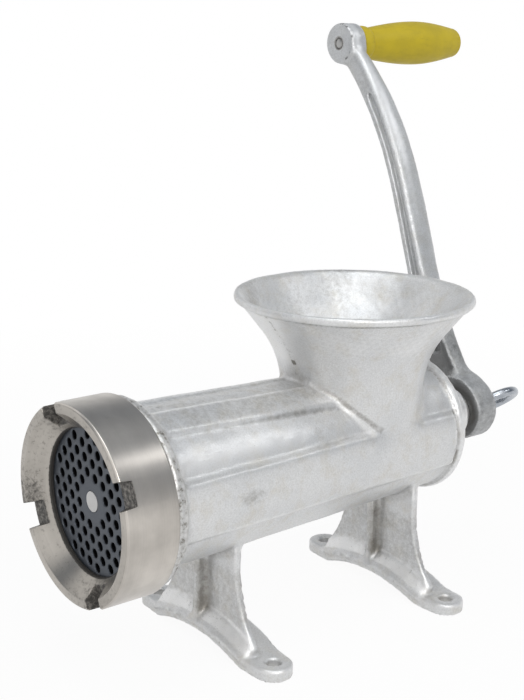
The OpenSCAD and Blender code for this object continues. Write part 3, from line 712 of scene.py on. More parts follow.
def hopper_field(r, z):
    """Distance to the hopper's outside: a bell from the axis up to the rim, with a bead round the rim."""
    outside = np.maximum(bell_field(r, z, *bell_outside), axis_z - z)
    outside = round_max(outside, z - rim_z, 3 * MM)
    bead = np.hypot(r - rim_r + BEAD_R, z - rim_z + BEAD_R) - BEAD_R
    return round_min(outside, bead, 0.8 * MM)


def foot_half_width(x):
    """Half of a foot bar's width: widest in the middle, and eased to the pads' radius at the bolts."""
    spread = np.clip((bolt_x - np.abs(x)) / (bolt_x / 2), 0.0, 1.0)
    return foot_r + (foot_mid_half - foot_r) * spread * spread * (3 - 2 * spread)


def above_foot(x, z):
    """Height over a foot bar's top: an arc between two flat pads."""
    crown_half = bolt_x - foot_r
    crown_r = (crown_half**2 + arch_rise**2) / (2 * arch_rise)
    crown = np.hypot(x, z - (foot_thickness + arch_rise - crown_r)) - crown_r
    pads = z - foot_thickness
    return round_min(np.where(np.abs(x) < crown_half, crown, pads), pads, 2.5 * MM)


def foot_bar_field(x, y, z):
    """Distance to one foot bar: an arch between two flat pads, with round ends, about the leg's own y."""
    arch_r = (arch_half**2 + arch_rise**2) / (2 * arch_rise)
    below = np.hypot(x, z - (arch_rise - arch_r)) - arch_r
    beyond = np.maximum(np.abs(x) - bolt_x, 0.0)
    side = np.hypot(beyond, y) - foot_half_width(x)
    bar = round_max(above_foot(x, z), -z, 1.5 * MM)
    bar = round_max(bar, side, 1.8 * MM)
    return round_max(bar, -below, 1.5 * MM)


def leg_field(x, y, z, web_half):
    """Distance to one leg: a web whose edges spread downwards, with a rib down its front and a foot bar.

    In front of the web the foot's top rises at 45 degrees to meet it, so the web stands on a slope.
    """
    curve_r = (WEB_SPREAD**2 + WEB_SPREAD_DROP**2) / (2 * WEB_SPREAD)
    fallen = np.clip(WEB_SPREAD_Z - z, 0.0, WEB_SPREAD_DROP)
    edge = web_half + curve_r - np.sqrt(curve_r**2 - fallen**2)
    lean = fallen / np.sqrt(curve_r**2 - fallen**2)
    beyond_edge = (np.abs(x) - edge) / np.sqrt(1 + lean * lean)
    over = above_foot(x, z)
    web = round_max(beyond_edge, np.abs(y - WEB_Y) - WEB_HALF_DEPTH, 1.2 * MM)
    slope = round_max((over - y - foot_half_width(x)) / math.sqrt(2) + 0.4 * MM, beyond_edge, 3 * MM)
    leg = round_min(web, np.maximum(slope, y - WEB_Y), 1.5 * MM)
    hollow = 1.2 * MM * (1 - np.clip((z - 44 * MM) / (26 * MM), -1.0, 0.6) ** 2)
    rib_depth = np.maximum(hollow - foot_mid_half - y, y - WEB_Y)
    rib = round_max(np.abs(x - RIB_X) - RIB_HALF, rib_depth, 1.6 * MM)
    leg = round_min(leg, rib, 3.5 * MM)
    leg = np.maximum(leg, np.maximum(z - axis_z, -over - 3 * MM))
    return round_min(leg, foot_bar_field(x, y, z), 1.5 * MM)


def uneven(x, y, z):
    """Waviness of a sand mould, in metres: two sums of sines with wavelengths of about 30 and 9 mm."""
    long = np.sin(190 * x + 60 * z) + np.sin(170 * y - 90 * x + 1.0) + np.sin(210 * z + 80 * y + 2.0)
    short = np.sin(690 * x + 250 * y) * np.sin(640 * y - 310 * z) * np.sin(720 * z + 200 * x)
    return 0.07 * MM * long + 0.08 * MM * short


def casting_field(x, y, z):
    """Distance to the body casting's surface: its forms joined, and the bore, throat and holes taken out."""
    rise = z - axis_z
    r = np.hypot(x, rise)
    hopper_r = np.hypot(x, y - hopper_y)
    body = with_turned_ends(barrel_field(x, y, rise), r, y)
    body = round_min(body, hopper_field(hopper_r, z), 4 * MM)
    for leg_y, web_half in (FRONT_LEG, REAR_LEG):
        body = round_min(body, leg_field(x, y - leg_y, z, web_half), 4 * MM)
    throat = np.maximum(bell_field(hopper_r, z, *bell_inside), -rise)
    body = round_max(body, -throat, 3 * MM)
    bore = np.maximum(r - bore_r(y), y - rear_inner_y)
    pocket = np.maximum(r - POCKET_R, y - plate_seat_y)
    body = round_max(body, -np.minimum(np.minimum(bore, pocket), r - BEARING_R), 1 * MM)
    bolt = np.hypot(np.abs(x) - bolt_x, np.abs(y) - bolt_y) - BOLT_R
    body = round_max(body, -np.maximum(bolt, z - 20 * MM), 0.8 * MM)
    return body + uneven(x, y, z)


# %% [markdown]
# ## Wear and painted light of the body casting
# Dirt and shine aren't spread evenly: fingers, cloths and meat decide where they are. Some shares also paint
# shade into crevices, under the feet and over the barrel's top, and highlights onto ribs, sides and feet. They
# could be painted by hand, but here each is a share from 0 to 1, worked out at every point from its place, by
# adding up soft steps and humps. The mesh carries the shares as attributes, and the finish above turns them into
# tones.


# %% Soft steps and places on the casting
def rising(value, start, length):
    """0 up to the start, then straight up to 1 over the length."""
    return np.clip((value - start) / length, 0.0, 1.0)


def falling(value, end, length):
    """1 at first, then straight down over the length to 0 at the end."""
    return np.clip((end - value) / length, 0.0, 1.0)


def hump(value, middle, width):
    """Smooth hump: 1 at the middle, and about a third a width away from it."""
    return np.exp(-(((value - middle) / width) ** 2))


def most(*shares):
    """Largest of several shares at each point."""
    return np.maximum.reduce(shares)


def barrel_gap(points):
    """How far each point lies outside the barrel's plain cone."""
    x, y, z = points.T
    return np.hypot(x, z - axis_z) - barrel_r(y)


def bell_gap(points):
    """How far each point lies outside the hopper's bell."""
    x, y, z = points.T
    return bell_field(np.hypot(x, y - hopper_y), z, *bell_outside)


def on_bell_front(points):
    """True on the hopper's front, where the two halves of the mould met."""
    x, y, z = points.T
    return (y < hopper_y) & (z > axis_z + 52 * MM) & (z < rim_z - 4 * MM) & (bell_gap(points) > -2 * MM)


def on_barrel_top(points):
    """True on the barrel's upper half, from the collar to the hopper's middle."""
    x, y, z = points.T
    return (np.abs(barrel_gap(points)) < 5 * MM) & (barrel_share(y) > 0.02) & (y < hopper_y) & (z > axis_z)


def leg_depth(points):
    """Place of each point along y, measured from the bolts of the nearer leg."""
    y = points[:, 1]
    return y - np.where(y < 0, -bolt_y, bolt_y)


def foot_slope(points):
    """Share of the sloping top of the feet in front of the webs: 1 on the slope, 0 elsewhere."""
    x, y, z = points.T
    front = leg_depth(points)
    half = foot_half_width(x)
    within = (front < WEB_Y - 2 * MM) & (np.abs(x - RIB_X) > 4.5 * MM) & (z < 32 * MM)
    return hump(above_foot(x, z) - front, half, 1.5 * MM) * within * rising(front + half, 1 * MM, 1 * MM)


# %% Specks and dirt
def casting_wear(points):
    """Share of dark specks: on the collar, the rim and the feet's slopes, and down the mould's joint with a chip."""
    x, y, z = points.T
    r = np.hypot(x, z - axis_z)
    collar = rising(r, 58.5 * MM, 2 * MM) * falling(y, collar_rear_y + 1 * MM, 2 * MM) * (r < 70 * MM)
    rim = falling(np.abs(z - rim_z), 5 * MM, 5 * MM) * rising(np.hypot(x, y - hopper_y), rim_r - 4 * MM, 3 * MM)
    on_front = on_bell_front(points)
    joint = hump(x, 2 * MM, 2.2 * MM) * on_front
    chip = hump(x, 3 * MM, 2.2 * MM) * hump(z, 182.8 * MM, 1.8 * MM) * on_front
    return most(0.47 * collar, 0.38 * rim, 0.54 * joint, 1.2 * chip, 0.38 * foot_slope(points))


def casting_soil_and_shade(points):
    """Share of brown dirt and painted shade, the most of what each place has.

    The legs are darker, with brown dirt most beside each rib. Painted shade lies under the feet, in the crevice in
    front of the flange and over the barrel's top. Brown dirt lies on the collar, down the mould's joint, in
    patches inside the hopper, and in one smudge on the band.
    """
    x, y, z = points.T
    r = np.hypot(x, z - axis_z)
    front = leg_depth(points)
    beside_rib = hump(x, RIB_X + 4 * MM, 2.6 * MM) * falling(front, WEB_Y - 1.5 * MM, 2 * MM)
    beside_rib = beside_rib * (front > -foot_mid_half)
    # Darker over the legs between the feet and the barrel, with brown dirt most beside each rib.
    legs = falling(z, 72 * MM, 15 * MM) * rising(z, 17 * MM, 8 * MM)
    legs = legs * (0.45 + beside_rib * (0.40 + 0.25 * hump(z, 28 * MM, 7 * MM)))
    # Painted shade under the feet, on the faces that look down.
    faces_down = -field_slope(casting_field, points, 0.3 * MM)[:, 2]
    under = (z < 22 * MM) * rising(faces_down, 0.80, 0.15)
    joint = hump(x, 2 * MM, 5 * MM) * on_bell_front(points)
    collar = rising(r, 57 * MM, 3 * MM) * (y < collar_rear_y + 2 * MM)
    smudge = hump(y, -87 * MM, 14 * MM) * hump(z, axis_z + 1 * MM, 7 * MM) * (x > 0)
    # Painted shade in the crevice in front of the flange, over its upper half.
    flange = hump(y, flange_front_y, 1.5 * MM) * (np.abs(r - 49 * MM) < 2.5 * MM) * (z > axis_z)
    # Painted shade over the barrel's top.
    on_top = (np.abs(barrel_gap(points)) < 5 * MM) & (barrel_share(y) > 0.0) & (y < hopper_y)
    film_and_shade = on_top * rising(z, axis_z + 37 * MM, 8 * MM)
    inside = (bell_gap(points) < -2 * MM) & (z > axis_z + 45 * MM)
    patches = 0.27 + 0.08 * (np.sin(95 * x + 60 * z) + np.sin(120 * z - 80 * y) + np.sin(150 * y + 70 * x))
    on_barrel = most(0.58 * collar, 0.37 * film_and_shade, 0.58 * smudge, 0.75 * flange)
    return most(legs, 0.9 * under, 0.36 * joint, inside * patches, on_barrel)


# %% Rubbed and dusty places
def neck_line(points):
    """Bend added where the neck leaves the barrel: a rubbed fillet with a painted highlight, and a line of painted
    shade beside it on the right.
    """
    x, y, z = points.T
    from_barrel = barrel_gap(points)
    from_bell = bell_gap(points)
    side = from_barrel - from_bell
    near = (np.abs(from_barrel) < 9 * MM) & (np.abs(from_bell) < 9 * MM) & (z > axis_z + 19 * MM) & (y < hopper_y)
    # Painted shade line beside the fillet, and a painted highlight, with rubbed wear, along the fillet.
    dark = hump(side, 2.6 * MM, 1.3 * MM) * rising(x, 16 * MM, 10 * MM)
    rubbed_and_highlit = hump(side, -1.0 * MM, 1.8 * MM)
    return near * (0.75 * rubbed_and_highlit - 1.2 * dark)


def painted_highlight_bands(points):
    """Bend that paints a highlight: a brighter band along the barrel's upper side and over the front left of the
    hopper.
    """
    x, y, z = points.T
    rise = z - axis_z
    from_top = np.degrees(np.arctan2(np.abs(x), rise))
    side = hump(from_top, 56, 10) * on_barrel_top(points) * falling(y, hopper_y - 60 * MM, 30 * MM)
    to_front_left = np.clip(0.3 - (0.35 * (y - hopper_y) + 0.65 * x) / (40 * MM), 0.0, 1.0)
    on_bell = (np.abs(bell_gap(points)) < 1.5 * MM) & (z < rim_z - 6 * MM)
    bell = to_front_left * on_bell * rising(rise, 52 * MM, 14 * MM)
    return np.maximum(0.70 * side, 0.75 * bell)


def casting_bend(points):
    """Bend of the casting with wear and painted light: little dirt and painted shade in the feet's corners, and dust
    with painted shade along the ledge over the band.

    The ledge's dust and shade fade towards the hopper. Each long rib has a painted highlight along its upper edge
    and a painted shadow along its lower one, a broken line of painted shade runs under the hopper's bead, and the
    slopes of the feet get a painted highlight. Where the painted highlight bands lie, the larger of both bends
    counts.
    """
    x, y, z = points.T
    rise = z - axis_z
    share = barrel_share(y)
    on_top = on_barrel_top(points)
    bend = bent(casting_field, points, 2.5 * MM)
    # Less crease shade and dirt on the feet, along the band's lower edge and on the barrel's rear sides.
    faint_crease = (z < 32 * MM) | (np.abs(rise + 21 * MM) < 5 * MM) | ((share > 0.62) & (np.abs(rise) < 30 * MM))
    bend = np.where(faint_crease & (bend < 0), 0.2 * bend, bend)
    softened = (z < 74 * MM) | (z > rim_z - 7 * MM) | on_top
    bend = np.where(softened & (bend > 0), 0.5 * bend, bend)
    # Dust and painted shade along the crease of the ledge over the band.
    ledge = hump(rise, 19.2 * MM, 2.4 * MM) * (barrel_gap(points) > -1 * MM) * (share > 0.0)
    dust_and_shade = ledge * falling(share, 0.62, 0.15)
    off_rib = across_rib(x, y, rise)
    # Painted highlight along each long rib's upper edge, painted shadow along its lower one.
    upper = hump(off_rib, -LONG_RIB_HALF, 2.4 * MM) * on_top
    lower = hump(off_rib, LONG_RIB_HALF + 2 * MM, 2.4 * MM) * on_top * hump(y, -40 * MM, 30 * MM)
    # Broken line of painted shade under the hopper's bead.
    broken = 0.5 + 0.5 * np.sin(9 * np.arctan2(y - hopper_y, x) + 2 * np.sin(140 * x))
    under_bead = hump(rim_z - z, 5.6 * MM, 0.8 * MM) * (np.hypot(x, y - hopper_y) > rim_r - 8 * MM) * broken
    bend = bend * (1 - dust_and_shade) - 0.8 * dust_and_shade + 0.7 * upper - 0.9 * lower - 0.9 * under_bead
    # Painted highlight bands on the barrel's upper side and the hopper's front left.
    rubbed_and_highlit = painted_highlight_bands(points)
    highlight_share = np.clip(rubbed_and_highlit / 0.3, 0.0, 1.0)
    bend = bend * (1 - highlight_share) + highlight_share * np.maximum(bend, rubbed_and_highlit)
    # The feet's slopes get a painted highlight.
    return bend + 0.9 * foot_slope(points) + neck_line(points)


# %% Body casting
GRID = 1.95 * MM
around = Vector((4, 4, 4)) * MM
points, quads = field_surface(casting_field, casting_low - around, casting_high + around, GRID)
# Scale of the sheltered share's painted shade and dirt: full round the barrel's height, less elsewhere and on the
# feet's slopes.
corner_shade_scale = np.where(np.abs(points[:, 2] - 70 * MM) < 40 * MM, 1.0, 0.6) * (1 - 0.9 * foot_slope(points))
make_piece(
    "body_casting_skin", [(points, quads)], "root", "tinned_casting", tinned, ["body_casting"],
    sheltered=sheltered(casting_field, points, 14 * MM) * corner_shade_scale,
    bend=casting_bend(points),
    worn=casting_wear(points), soiled=casting_soil_and_shade(points),
)

# %% [markdown]
# ## Turned pieces
# The ring, the grip, the spindle and the screw's shank were made on a lathe. On a lathe a profile goes once
# round an axis, so each is a grid: one row per point of the profile and one column per angle. Corners of the
# profile are eased first, because a real tool leaves no perfectly sharp edge, and an eased edge catches light.


# %% Lathe helpers
def eased(profile, radius, steps=4):
    """Closed profile with each corner replaced by a short curve that starts and ends radius away from it."""
    corner = np.array(profile, float)
    before = np.roll(corner, 1, axis=0) - corner
    after = np.roll(corner, -1, axis=0) - corner
    start = corner + before * radius / np.linalg.norm(before, axis=1)[:, None]
    end = corner + after * radius / np.linalg.norm(after, axis=1)[:, None]
    t = np.linspace(0.0, 1.0, steps)[None, :, None]
    curve = (1 - t) ** 2 * start[:, None] + 2 * t * (1 - t) * corner[:, None] + t * t * end[:, None]
    return curve.reshape(-1, 2)


def spaced(profile, gap):
    """Closed profile with extra points, so that none lie further apart than gap."""
    loop = np.concatenate([profile, profile[:1]])
    along = np.concatenate([[0.0], np.cumsum(np.linalg.norm(np.diff(loop, axis=0), axis=1))])
    places = np.union1d(along[:-1], np.arange(0.0, along[-1], gap))
    return np.stack([np.interp(places, along, loop[:, 0]), np.interp(places, along, loop[:, 1])], axis=1)


def grid_quads(rows, columns, wrap_rows=True):
    """Faces of a grid whose columns close on themselves, and whose rows may too."""
    i = np.arange(rows if wrap_rows else rows - 1)[:, None]
    j = np.arange(columns)[None, :]
    after_i = (i + 1) % rows
    after_j = (j + 1) % columns
    quads = np.stack([i * columns + j, i * columns + after_j, after_i * columns + after_j, after_i * columns + j], -1)
    return quads.reshape(-1, 4)


def on_axis(radius, along, angle, x=0.0, z=None):
    """Points at a radius and angle about an axis along Y. Angle 0 is up, and a quarter turn is +X."""
    centre_z = axis_z if z is None else z
    return np.stack(np.broadcast_arrays(
        x + radius * np.sin(angle), along, centre_z + radius * np.cos(angle)
    ), axis=-1).reshape(-1, 3)


def round_angles(columns):
    """Evenly spaced angles of a whole turn, as one row."""
    return np.linspace(0.0, 2 * np.pi, columns, endpoint=False)[None, :]


def lathe(profile, columns=96, x=0.0, z=None):
    """Shell from a closed profile of [radius, along] points turned about an axis along Y."""
    points = on_axis(profile[:, :1], profile[:, 1:], round_angles(columns), x, z)
    return points, grid_quads(len(profile), columns)


def end_fans(rows, columns):
    """Triangles that close a grid's first and last rows to two poles, which are numbered after the grid's points."""
    first = np.arange(columns)
    after = (first + 1) % columns
    last = (rows - 1) * columns
    pole = np.full(columns, rows * columns)
    return np.concatenate([np.stack([after, first, pole], 1), np.stack([last + first, last + after, pole + 1], 1)])


def lathe_solid(profile, columns=96, x=0.0, z=None):
    """Shell from an open profile whose two ends lie on the axis, closed there by fans of triangles."""
    rows = profile[1:-1]
    skin = on_axis(rows[:, :1], rows[:, 1:], round_angles(columns), x, z)
    poles = on_axis(profile[[0, -1], :1], profile[[0, -1], 1:], 0.0, x, z)
    return np.concatenate([skin, poles]), grid_quads(len(rows), columns, False), end_fans(len(rows), columns)


def thread_wave(y, angle, pitch, hand=1):
    """Triangle wave of a thread, from 0 to 1: once up and down per pitch, and one pitch along per turn."""
    return np.abs((y / pitch + hand * angle / (2 * np.pi)) % 1.0 - 0.5) * 2


# %% [markdown]
# ## The turned finish
# A lathe tool leaves fine lines round the axis. They depend only on the radius and the place along the axis,
# so the group below builds noise on those two numbers. Tone and height come out for each metal to use.

# %% Turned lines group
TURNED_SCALE = 1500.0
lines_group, given, result = new_group(
    "turned_lines", {"Axis X": 0.0, "Axis Z": 0.0, "Scale": TURNED_SCALE}, ("Height", "Tone", "Smear")
)
here = object_place(lines_group)
split = place(lines_group, "ShaderNodeSeparateXYZ", {"Vector": here}).outputs
side = math_node(lines_group, "SUBTRACT", split["X"], given["Axis X"])
rise = math_node(lines_group, "SUBTRACT", split["Z"], given["Axis Z"])
square = math_node(lines_group, "MULTIPLY_ADD", side, side, math_node(lines_group, "MULTIPLY", rise, rise))
radius = math_node(lines_group, "SQRT", square)
lines_at = place(lines_group, "ShaderNodeCombineXYZ", {"X": radius, "Y": split["Y"], "Z": 0.0}).outputs[0]
fine = noise(lines_group, lines_at, given["Scale"], 2.0, 0.6)
wide = noise(lines_group, lines_at, 160.0, 2.0, 0.5)
smear = noise(lines_group, here, 30.0, 4.0, 0.6)
tone = math_node(lines_group, "MULTIPLY_ADD", fine, 0.5, math_node(lines_group, "MULTIPLY", wide, 0.5))
put_out(lines_group, result, {"Height": fine, "Tone": tone, "Smear": ramp(lines_group, smear, 0.35, 0.7)})


# %% Turned materials
TURNED_DEPTH = 0.025 * MM


def turned_finish(name, dark, light, dirt_and_shade_tone, rough, axis=(0.0, axis_z), grimy=False):
    """Turned metal: tone and roughness follow the tool's lines, with smears and, where asked, grime and painted shade.
    """
    finish, tree = new_finish(name)
    seen = place(tree, "ShaderNodeGroup", {"Axis X": axis[0], "Axis Z": axis[1]}, node_tree=lines_group).outputs
    colour = blend_colour(tree, seen["Tone"], dark, light)
    colour = blend_colour(tree, math_node(tree, "MULTIPLY", seen["Smear"], 0.25), colour, dirt_and_shade_tone)
    roughness = ramp(tree, seen["Smear"], 0.0, 1.0, rough, rough + 0.08)
    metallic = 1.0
    if grimy:
        # The grime attribute holds grime, and painted shadow on the ring's lip.
        film_and_shade = ramp(tree, attribute(tree, "grime"), 0.0, 0.3, 0.0, 0.50)
        colour = blend_colour(tree, film_and_shade, colour, (0.24, 0.225, 0.20, 1))
        speck = math_node(tree, "MULTIPLY_ADD", noise(tree, object_place(tree), 380.0, 4.0, 0.75), 1.4, -0.7)
        grime = ramp(tree, math_node(tree, "ADD", attribute(tree, "grime"), speck), 0.34, 0.80, 0.0, 0.92)
        colour = blend_colour(tree, grime, colour, dirt_and_shade_tone)
        roughness = math_node(tree, "MULTIPLY_ADD", grime, 0.3, roughness)
        metallic = math_node(tree, "SUBTRACT", 1.0, grime)
    principled(tree, {
        "Base Color": colour,
        "Metallic": metallic,
        "Roughness": roughness,
        "Normal": bump(tree, seen["Height"], TURNED_DEPTH, 0.7),
    })
    return finish


ring_steel = turned_finish(
    "ring_steel", (0.47, 0.44, 0.405, 1), (0.70, 0.66, 0.61, 1), (0.014, 0.012, 0.010, 1), 0.29, grimy=True
)
turned_steel = turned_finish("turned_steel", (0.66, 0.66, 0.66, 1), (0.82, 0.82, 0.82, 1), (0.30, 0.28, 0.25, 1), 0.35)
knife_steel = turned_finish("knife_steel", (0.40, 0.40, 0.41, 1), (0.55, 0.55, 0.56, 1), (0.15, 0.13, 0.10, 1), 0.3)

# %% [markdown]
# ## The screw ring
# The ring is a lathe piece with four notches milled into its front for a spanner. On the grid a notch is a
# floor: inside its width no point may lie further forward than the floor. The columns near a notch keep a
# constant sideways distance, not a constant angle, so that the notch's walls come out parallel.

# %% Screw ring
ring_front_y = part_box("screw_ring")[0].y
RING_PITCH = 3.5 * MM
NOTCH_HALF = 8.0 * MM
NOTCH_DEPTH = 8.5 * MM
NOTCH_TURN = math.radians(-23)
NOTCH_EDGE = 0.5 * MM
RING_THREAD_DEPTH = 1.1 * MM


def notched_ring():
    """Points, faces and grime, with painted shade, of the ring.

    Rows follow the section. In each quarter, the middle columns lie at fixed sideways distances s from the
    notch's centre line, at the angle asin(s / r), and the outer ones share the rest of the quarter evenly. The
    front is then held back to the notch's floor, which rises steeply at the edges. The bore carries a thread
    whose radius follows a triangle wave of y and the angle.
    """
    seat_y = plate_low.y - 0.3 * MM
    section = np.array([
        [46.5, 0.0], [46.5, -2.4], [57.5, -14.7], [63.0, -14.7], [64.0, -13.5],
        [64.0, 21.2], [63.0, 22.3], [59.3, 22.3], [58.3, 21.3], [58.3, 0.0],
    ]) * MM
    section = spaced(eased(section, 0.45 * MM), 1.0 * MM)
    r = section[:, :1]
    y = seat_y + section[:, 1:]
    edge = NOTCH_HALF + NOTCH_EDGE
    wall = np.linspace(edge, NOTCH_HALF - NOTCH_EDGE, 9)
    middle = np.concatenate([-wall, np.linspace(-7, 7, 8) * MM, wall[::-1]])
    outer = np.linspace(0.0, 1.0, 24)[1:-1]
    limit = np.arcsin(edge / r)
    quarter = np.concatenate([np.arcsin(middle / r), limit + outer * (np.pi / 2 - 2 * limit)], axis=1)
    angle = np.concatenate([quarter + k * np.pi / 2 for k in range(4)], axis=1)
    sideways = np.tile(np.concatenate([middle, np.full(len(outer), edge)]), 4)[None, :]
    inside = falling(np.abs(sideways), edge, 2 * NOTCH_EDGE)
    floor_y = ring_front_y + NOTCH_DEPTH * inside * inside * (3 - 2 * inside)
    turn = angle + NOTCH_TURN
    in_bore = (r < 58.6 * MM) & (y > seat_y + 1.5 * MM)
    radius = r + np.where(in_bore, thread_wave(y, turn, RING_PITCH) * RING_THREAD_DEPTH, 0.0)
    faces = grid_quads(len(section), angle.shape[1])
    return on_axis(radius, np.maximum(y, floor_y), turn), faces, ring_grime_and_shade(r, y - seat_y, y, angle, floor_y).ravel()


def ring_grime_and_shade(r, from_seat, y, angle, floor_y):
    """Share of grime and painted shade: grime thick in the notches, thinner on the cone and most of it above on the
    left, and painted shadow, near black, on the lip's inner wall.
    """
    turn = angle + NOTCH_TURN
    in_notch = np.where(floor_y > y + 0.2 * MM, 0.72, 0.0)
    off_notch = np.abs((angle + np.pi / 4) % (np.pi / 2) - np.pi / 4) * r - NOTCH_HALF
    behind = np.maximum(y - ring_front_y - NOTCH_DEPTH, 0.0)
    beside = np.exp(-np.maximum(off_notch, 0.0) / (3 * MM) - behind / (1.5 * MM))
    above_left = hump(turn % (2 * np.pi), math.radians(263), math.radians(14))
    tarnish = 0.26 + 0.06 * np.cos(2 * turn + 0.6) + 0.30 * above_left * rising(r, 48 * MM, 4 * MM)
    on_cone = (r < 63.2 * MM) & (from_seat < -1.0 * MM)
    # Painted shadow, near black, on the lip's inner wall; tarnish over the rest of the cone.
    cone = np.where(on_cone, tarnish, 0.0) + np.where(r < 47.3 * MM, 0.9, 0.0)
    return np.maximum(in_notch, cone + 0.15 * beside)


points, quads, grime = notched_ring()
make_piece(
    "screw_ring_turned", [(points, quads)], "ring", "ring_steel", ring_steel, ["screw_ring"], sharp=35, grime=grime
)

# %% [markdown]
# ## The barrel's thread
# When the ring is unscrewed, the thread that it runs on comes into sight. It is cut into the barrel's mouth, a
# sleeve whose outer radius follows a helix: the same triangle wave of y and angle as in the ring's bore.


# %% Barrel thread
SLEEVE_CREST_R = 58.0 * MM
SLEEVE_INNER_R = 55.5 * MM
SLEEVE_DEPTH = 1.2 * MM


def thread_sleeve():
    """Sleeve grid: outer rows fall from the crest by the thread's depth times a triangle wave, eased at one end."""
    y = np.linspace(mouth_y + 0.6 * MM, collar_front_y + 0.5 * MM, 90)[:, None]
    angle = round_angles(144)
    wave = thread_wave(y, angle, RING_PITCH)
    outer = SLEEVE_CREST_R - SLEEVE_DEPTH * wave - SLEEVE_DEPTH * (1 - rising(y, y[0], 1.5 * MM))
    ends = np.full_like(angle, SLEEVE_INNER_R)
    radius = np.concatenate([ends, outer, ends])
    along = np.concatenate([y[:1], y, y[-1:]])
    return on_axis(radius, along, angle), grid_quads(len(along), angle.shape[1])


make_piece("barrel_thread", [thread_sleeve()], "root", "tinned_casting", turned_steel, sharp=40)

# %% [markdown]
# ## The hole plate
# The plate is ground flat and drilled with a triangular pattern of holes, each slightly countersunk. A field
# suits it: a disc, less a set of round holes, with small eased edges.

# %% Hole plate
HOLE_R = 3.0 * MM
HOLE_PITCH = 9.3 * MM
PATTERN_TURN = math.radians(-13)
BARE_CENTRE_R = 12.5 * MM
BARE_RIM = 6.5 * MM
STUD_HOLE_R = 6.6 * MM
KEY_SLOT_R = 2.9 * MM
KEY_TURN = math.radians(-73)
plate_r = (plate_high.x - plate_low.x) / 2


def hole_centres():
    """Places of the holes: rows of a triangular grid, kept between the bare centre and the bare rim."""
    i, j = np.meshgrid(np.arange(-12, 13), np.arange(-6, 7), indexing="ij")
    across = HOLE_PITCH * (i + j / 2)
    rise = HOLE_PITCH * j * math.sqrt(3) / 2
    r = np.hypot(across, rise)
    kept = (r > BARE_CENTRE_R) & (r <= plate_r - BARE_RIM)
    across, rise = across[kept], rise[kept]
    cos, sin = math.cos(PATTERN_TURN), math.sin(PATTERN_TURN)
    return np.stack([across * cos - rise * sin, across * sin + rise * cos], axis=1)


centres = hole_centres()


def plate_field(x, y, z):
    """Distance to the hole plate: a disc less its holes, the stud's hole and the key's slot."""
    rise = z - axis_z
    r = np.hypot(x, rise)
    holes = r - STUD_HOLE_R
    for across, up_from_axis in centres:
        holes = np.minimum(holes, np.hypot(x - across, rise - up_from_axis) - HOLE_R)
    slot = np.hypot(x - plate_r * math.cos(KEY_TURN), rise - plate_r * math.sin(KEY_TURN)) - KEY_SLOT_R
    disc = disc_field(r, y, plate_r, plate_low.y, plate_high.y, 1.0 * MM)
    return round_max(disc, -np.minimum(holes, slot), 0.7 * MM)


def plate_finish():
    """Dark hardened steel: ground lines, smears of grease, and painted shade, near black, inside the holes."""
    finish, tree = new_finish("plate_steel")
    seen = place(tree, "ShaderNodeGroup", {"Axis Z": axis_z, "Scale": 900.0}, node_tree=lines_group).outputs
    colour = blend_colour(tree, seen["Tone"], (0.046, 0.055, 0.071, 1), (0.112, 0.126, 0.148, 1))
    greasy = math_node(tree, "MULTIPLY", seen["Smear"], 0.45)
    colour = blend_colour(tree, greasy, colour, (0.15, 0.158, 0.173, 1))
    # Painted shade, near black, down the walls of the holes.
    colour = blend_colour(tree, attribute(tree, "depth"), colour, (0.008, 0.008, 0.010, 1))
    principled(tree, {
        "Base Color": colour,
        "Metallic": 0.6,
        "Roughness": ramp(tree, seen["Smear"], 0.0, 1.0, 0.38, 0.55),
        "Normal": bump(tree, seen["Height"], 0.03 * MM, 0.6),
    })
    return finish


plate_steel = plate_finish()
margin = Vector((2, 2, 2)) * MM
points, quads = field_surface(plate_field, plate_low - margin, plate_high + margin, 0.7 * MM)
make_piece(
    "hole_plate_drilled", [(points, quads)], "plate", "plate_steel", plate_steel, ["hole_plate"], sharp=45,
    # Painted shade from just behind the front face, down the holes.
    depth=rising(points[:, 1], plate_low.y + 0.4 * MM, 0.8 * MM),
)

# %% [markdown]
# ## The crank
# The crank is one casting too: a hub over the auger's square, a bowed arm with a hollow down each face, and a
# boss for the grip. Its field is written in the arm's own upright frame, in which the arm is a curve u(w)
# with a width and a depth at each height w, and the finished surface is then leaned over.

# %% Crank
crank_low, crank_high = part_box("crank_arm")
hub_front_y = crank_low.y
hub_rear_y = crank_high.y
arm_y = (hub_front_y + hub_rear_y) / 2
hub_half = (hub_rear_y - hub_front_y) / 2
CRANK_LEAN = math.atan2(-grip_x, grip_z - axis_z)
CRANK_RADIUS = math.hypot(grip_x, grip_z - axis_z)
HUB_R = 22.5 * MM
GRIP_BOSS_R = 15.8 * MM
GRIP_BOSS_HALF = 8 * MM
SOCKET_HALF = 9.65 * MM
RECESS_R = 14.3 * MM
SCREW_HOLE_R = 6.3 * MM
SPINDLE_HOLE_R = 5.02 * MM
GROOVE_SHIFT = 1.3 * MM
GROOVE_WALL = 5.8 * MM
GROOVE_DEPTH = 4.4 * MM
curve_t = np.linspace(0.0, 1.0, 401)
curve_u = 3 * curve_t * (1 - curve_t) ** 2 * -20 * MM + 3 * curve_t**2 * (1 - curve_t) * 45 * MM
curve_w = CRANK_RADIUS * (1.2 * curve_t * (1 - curve_t) ** 2 + 1.8 * curve_t**2 * (1 - curve_t) + curve_t**3)
curve_lean = np.gradient(curve_u, curve_w)


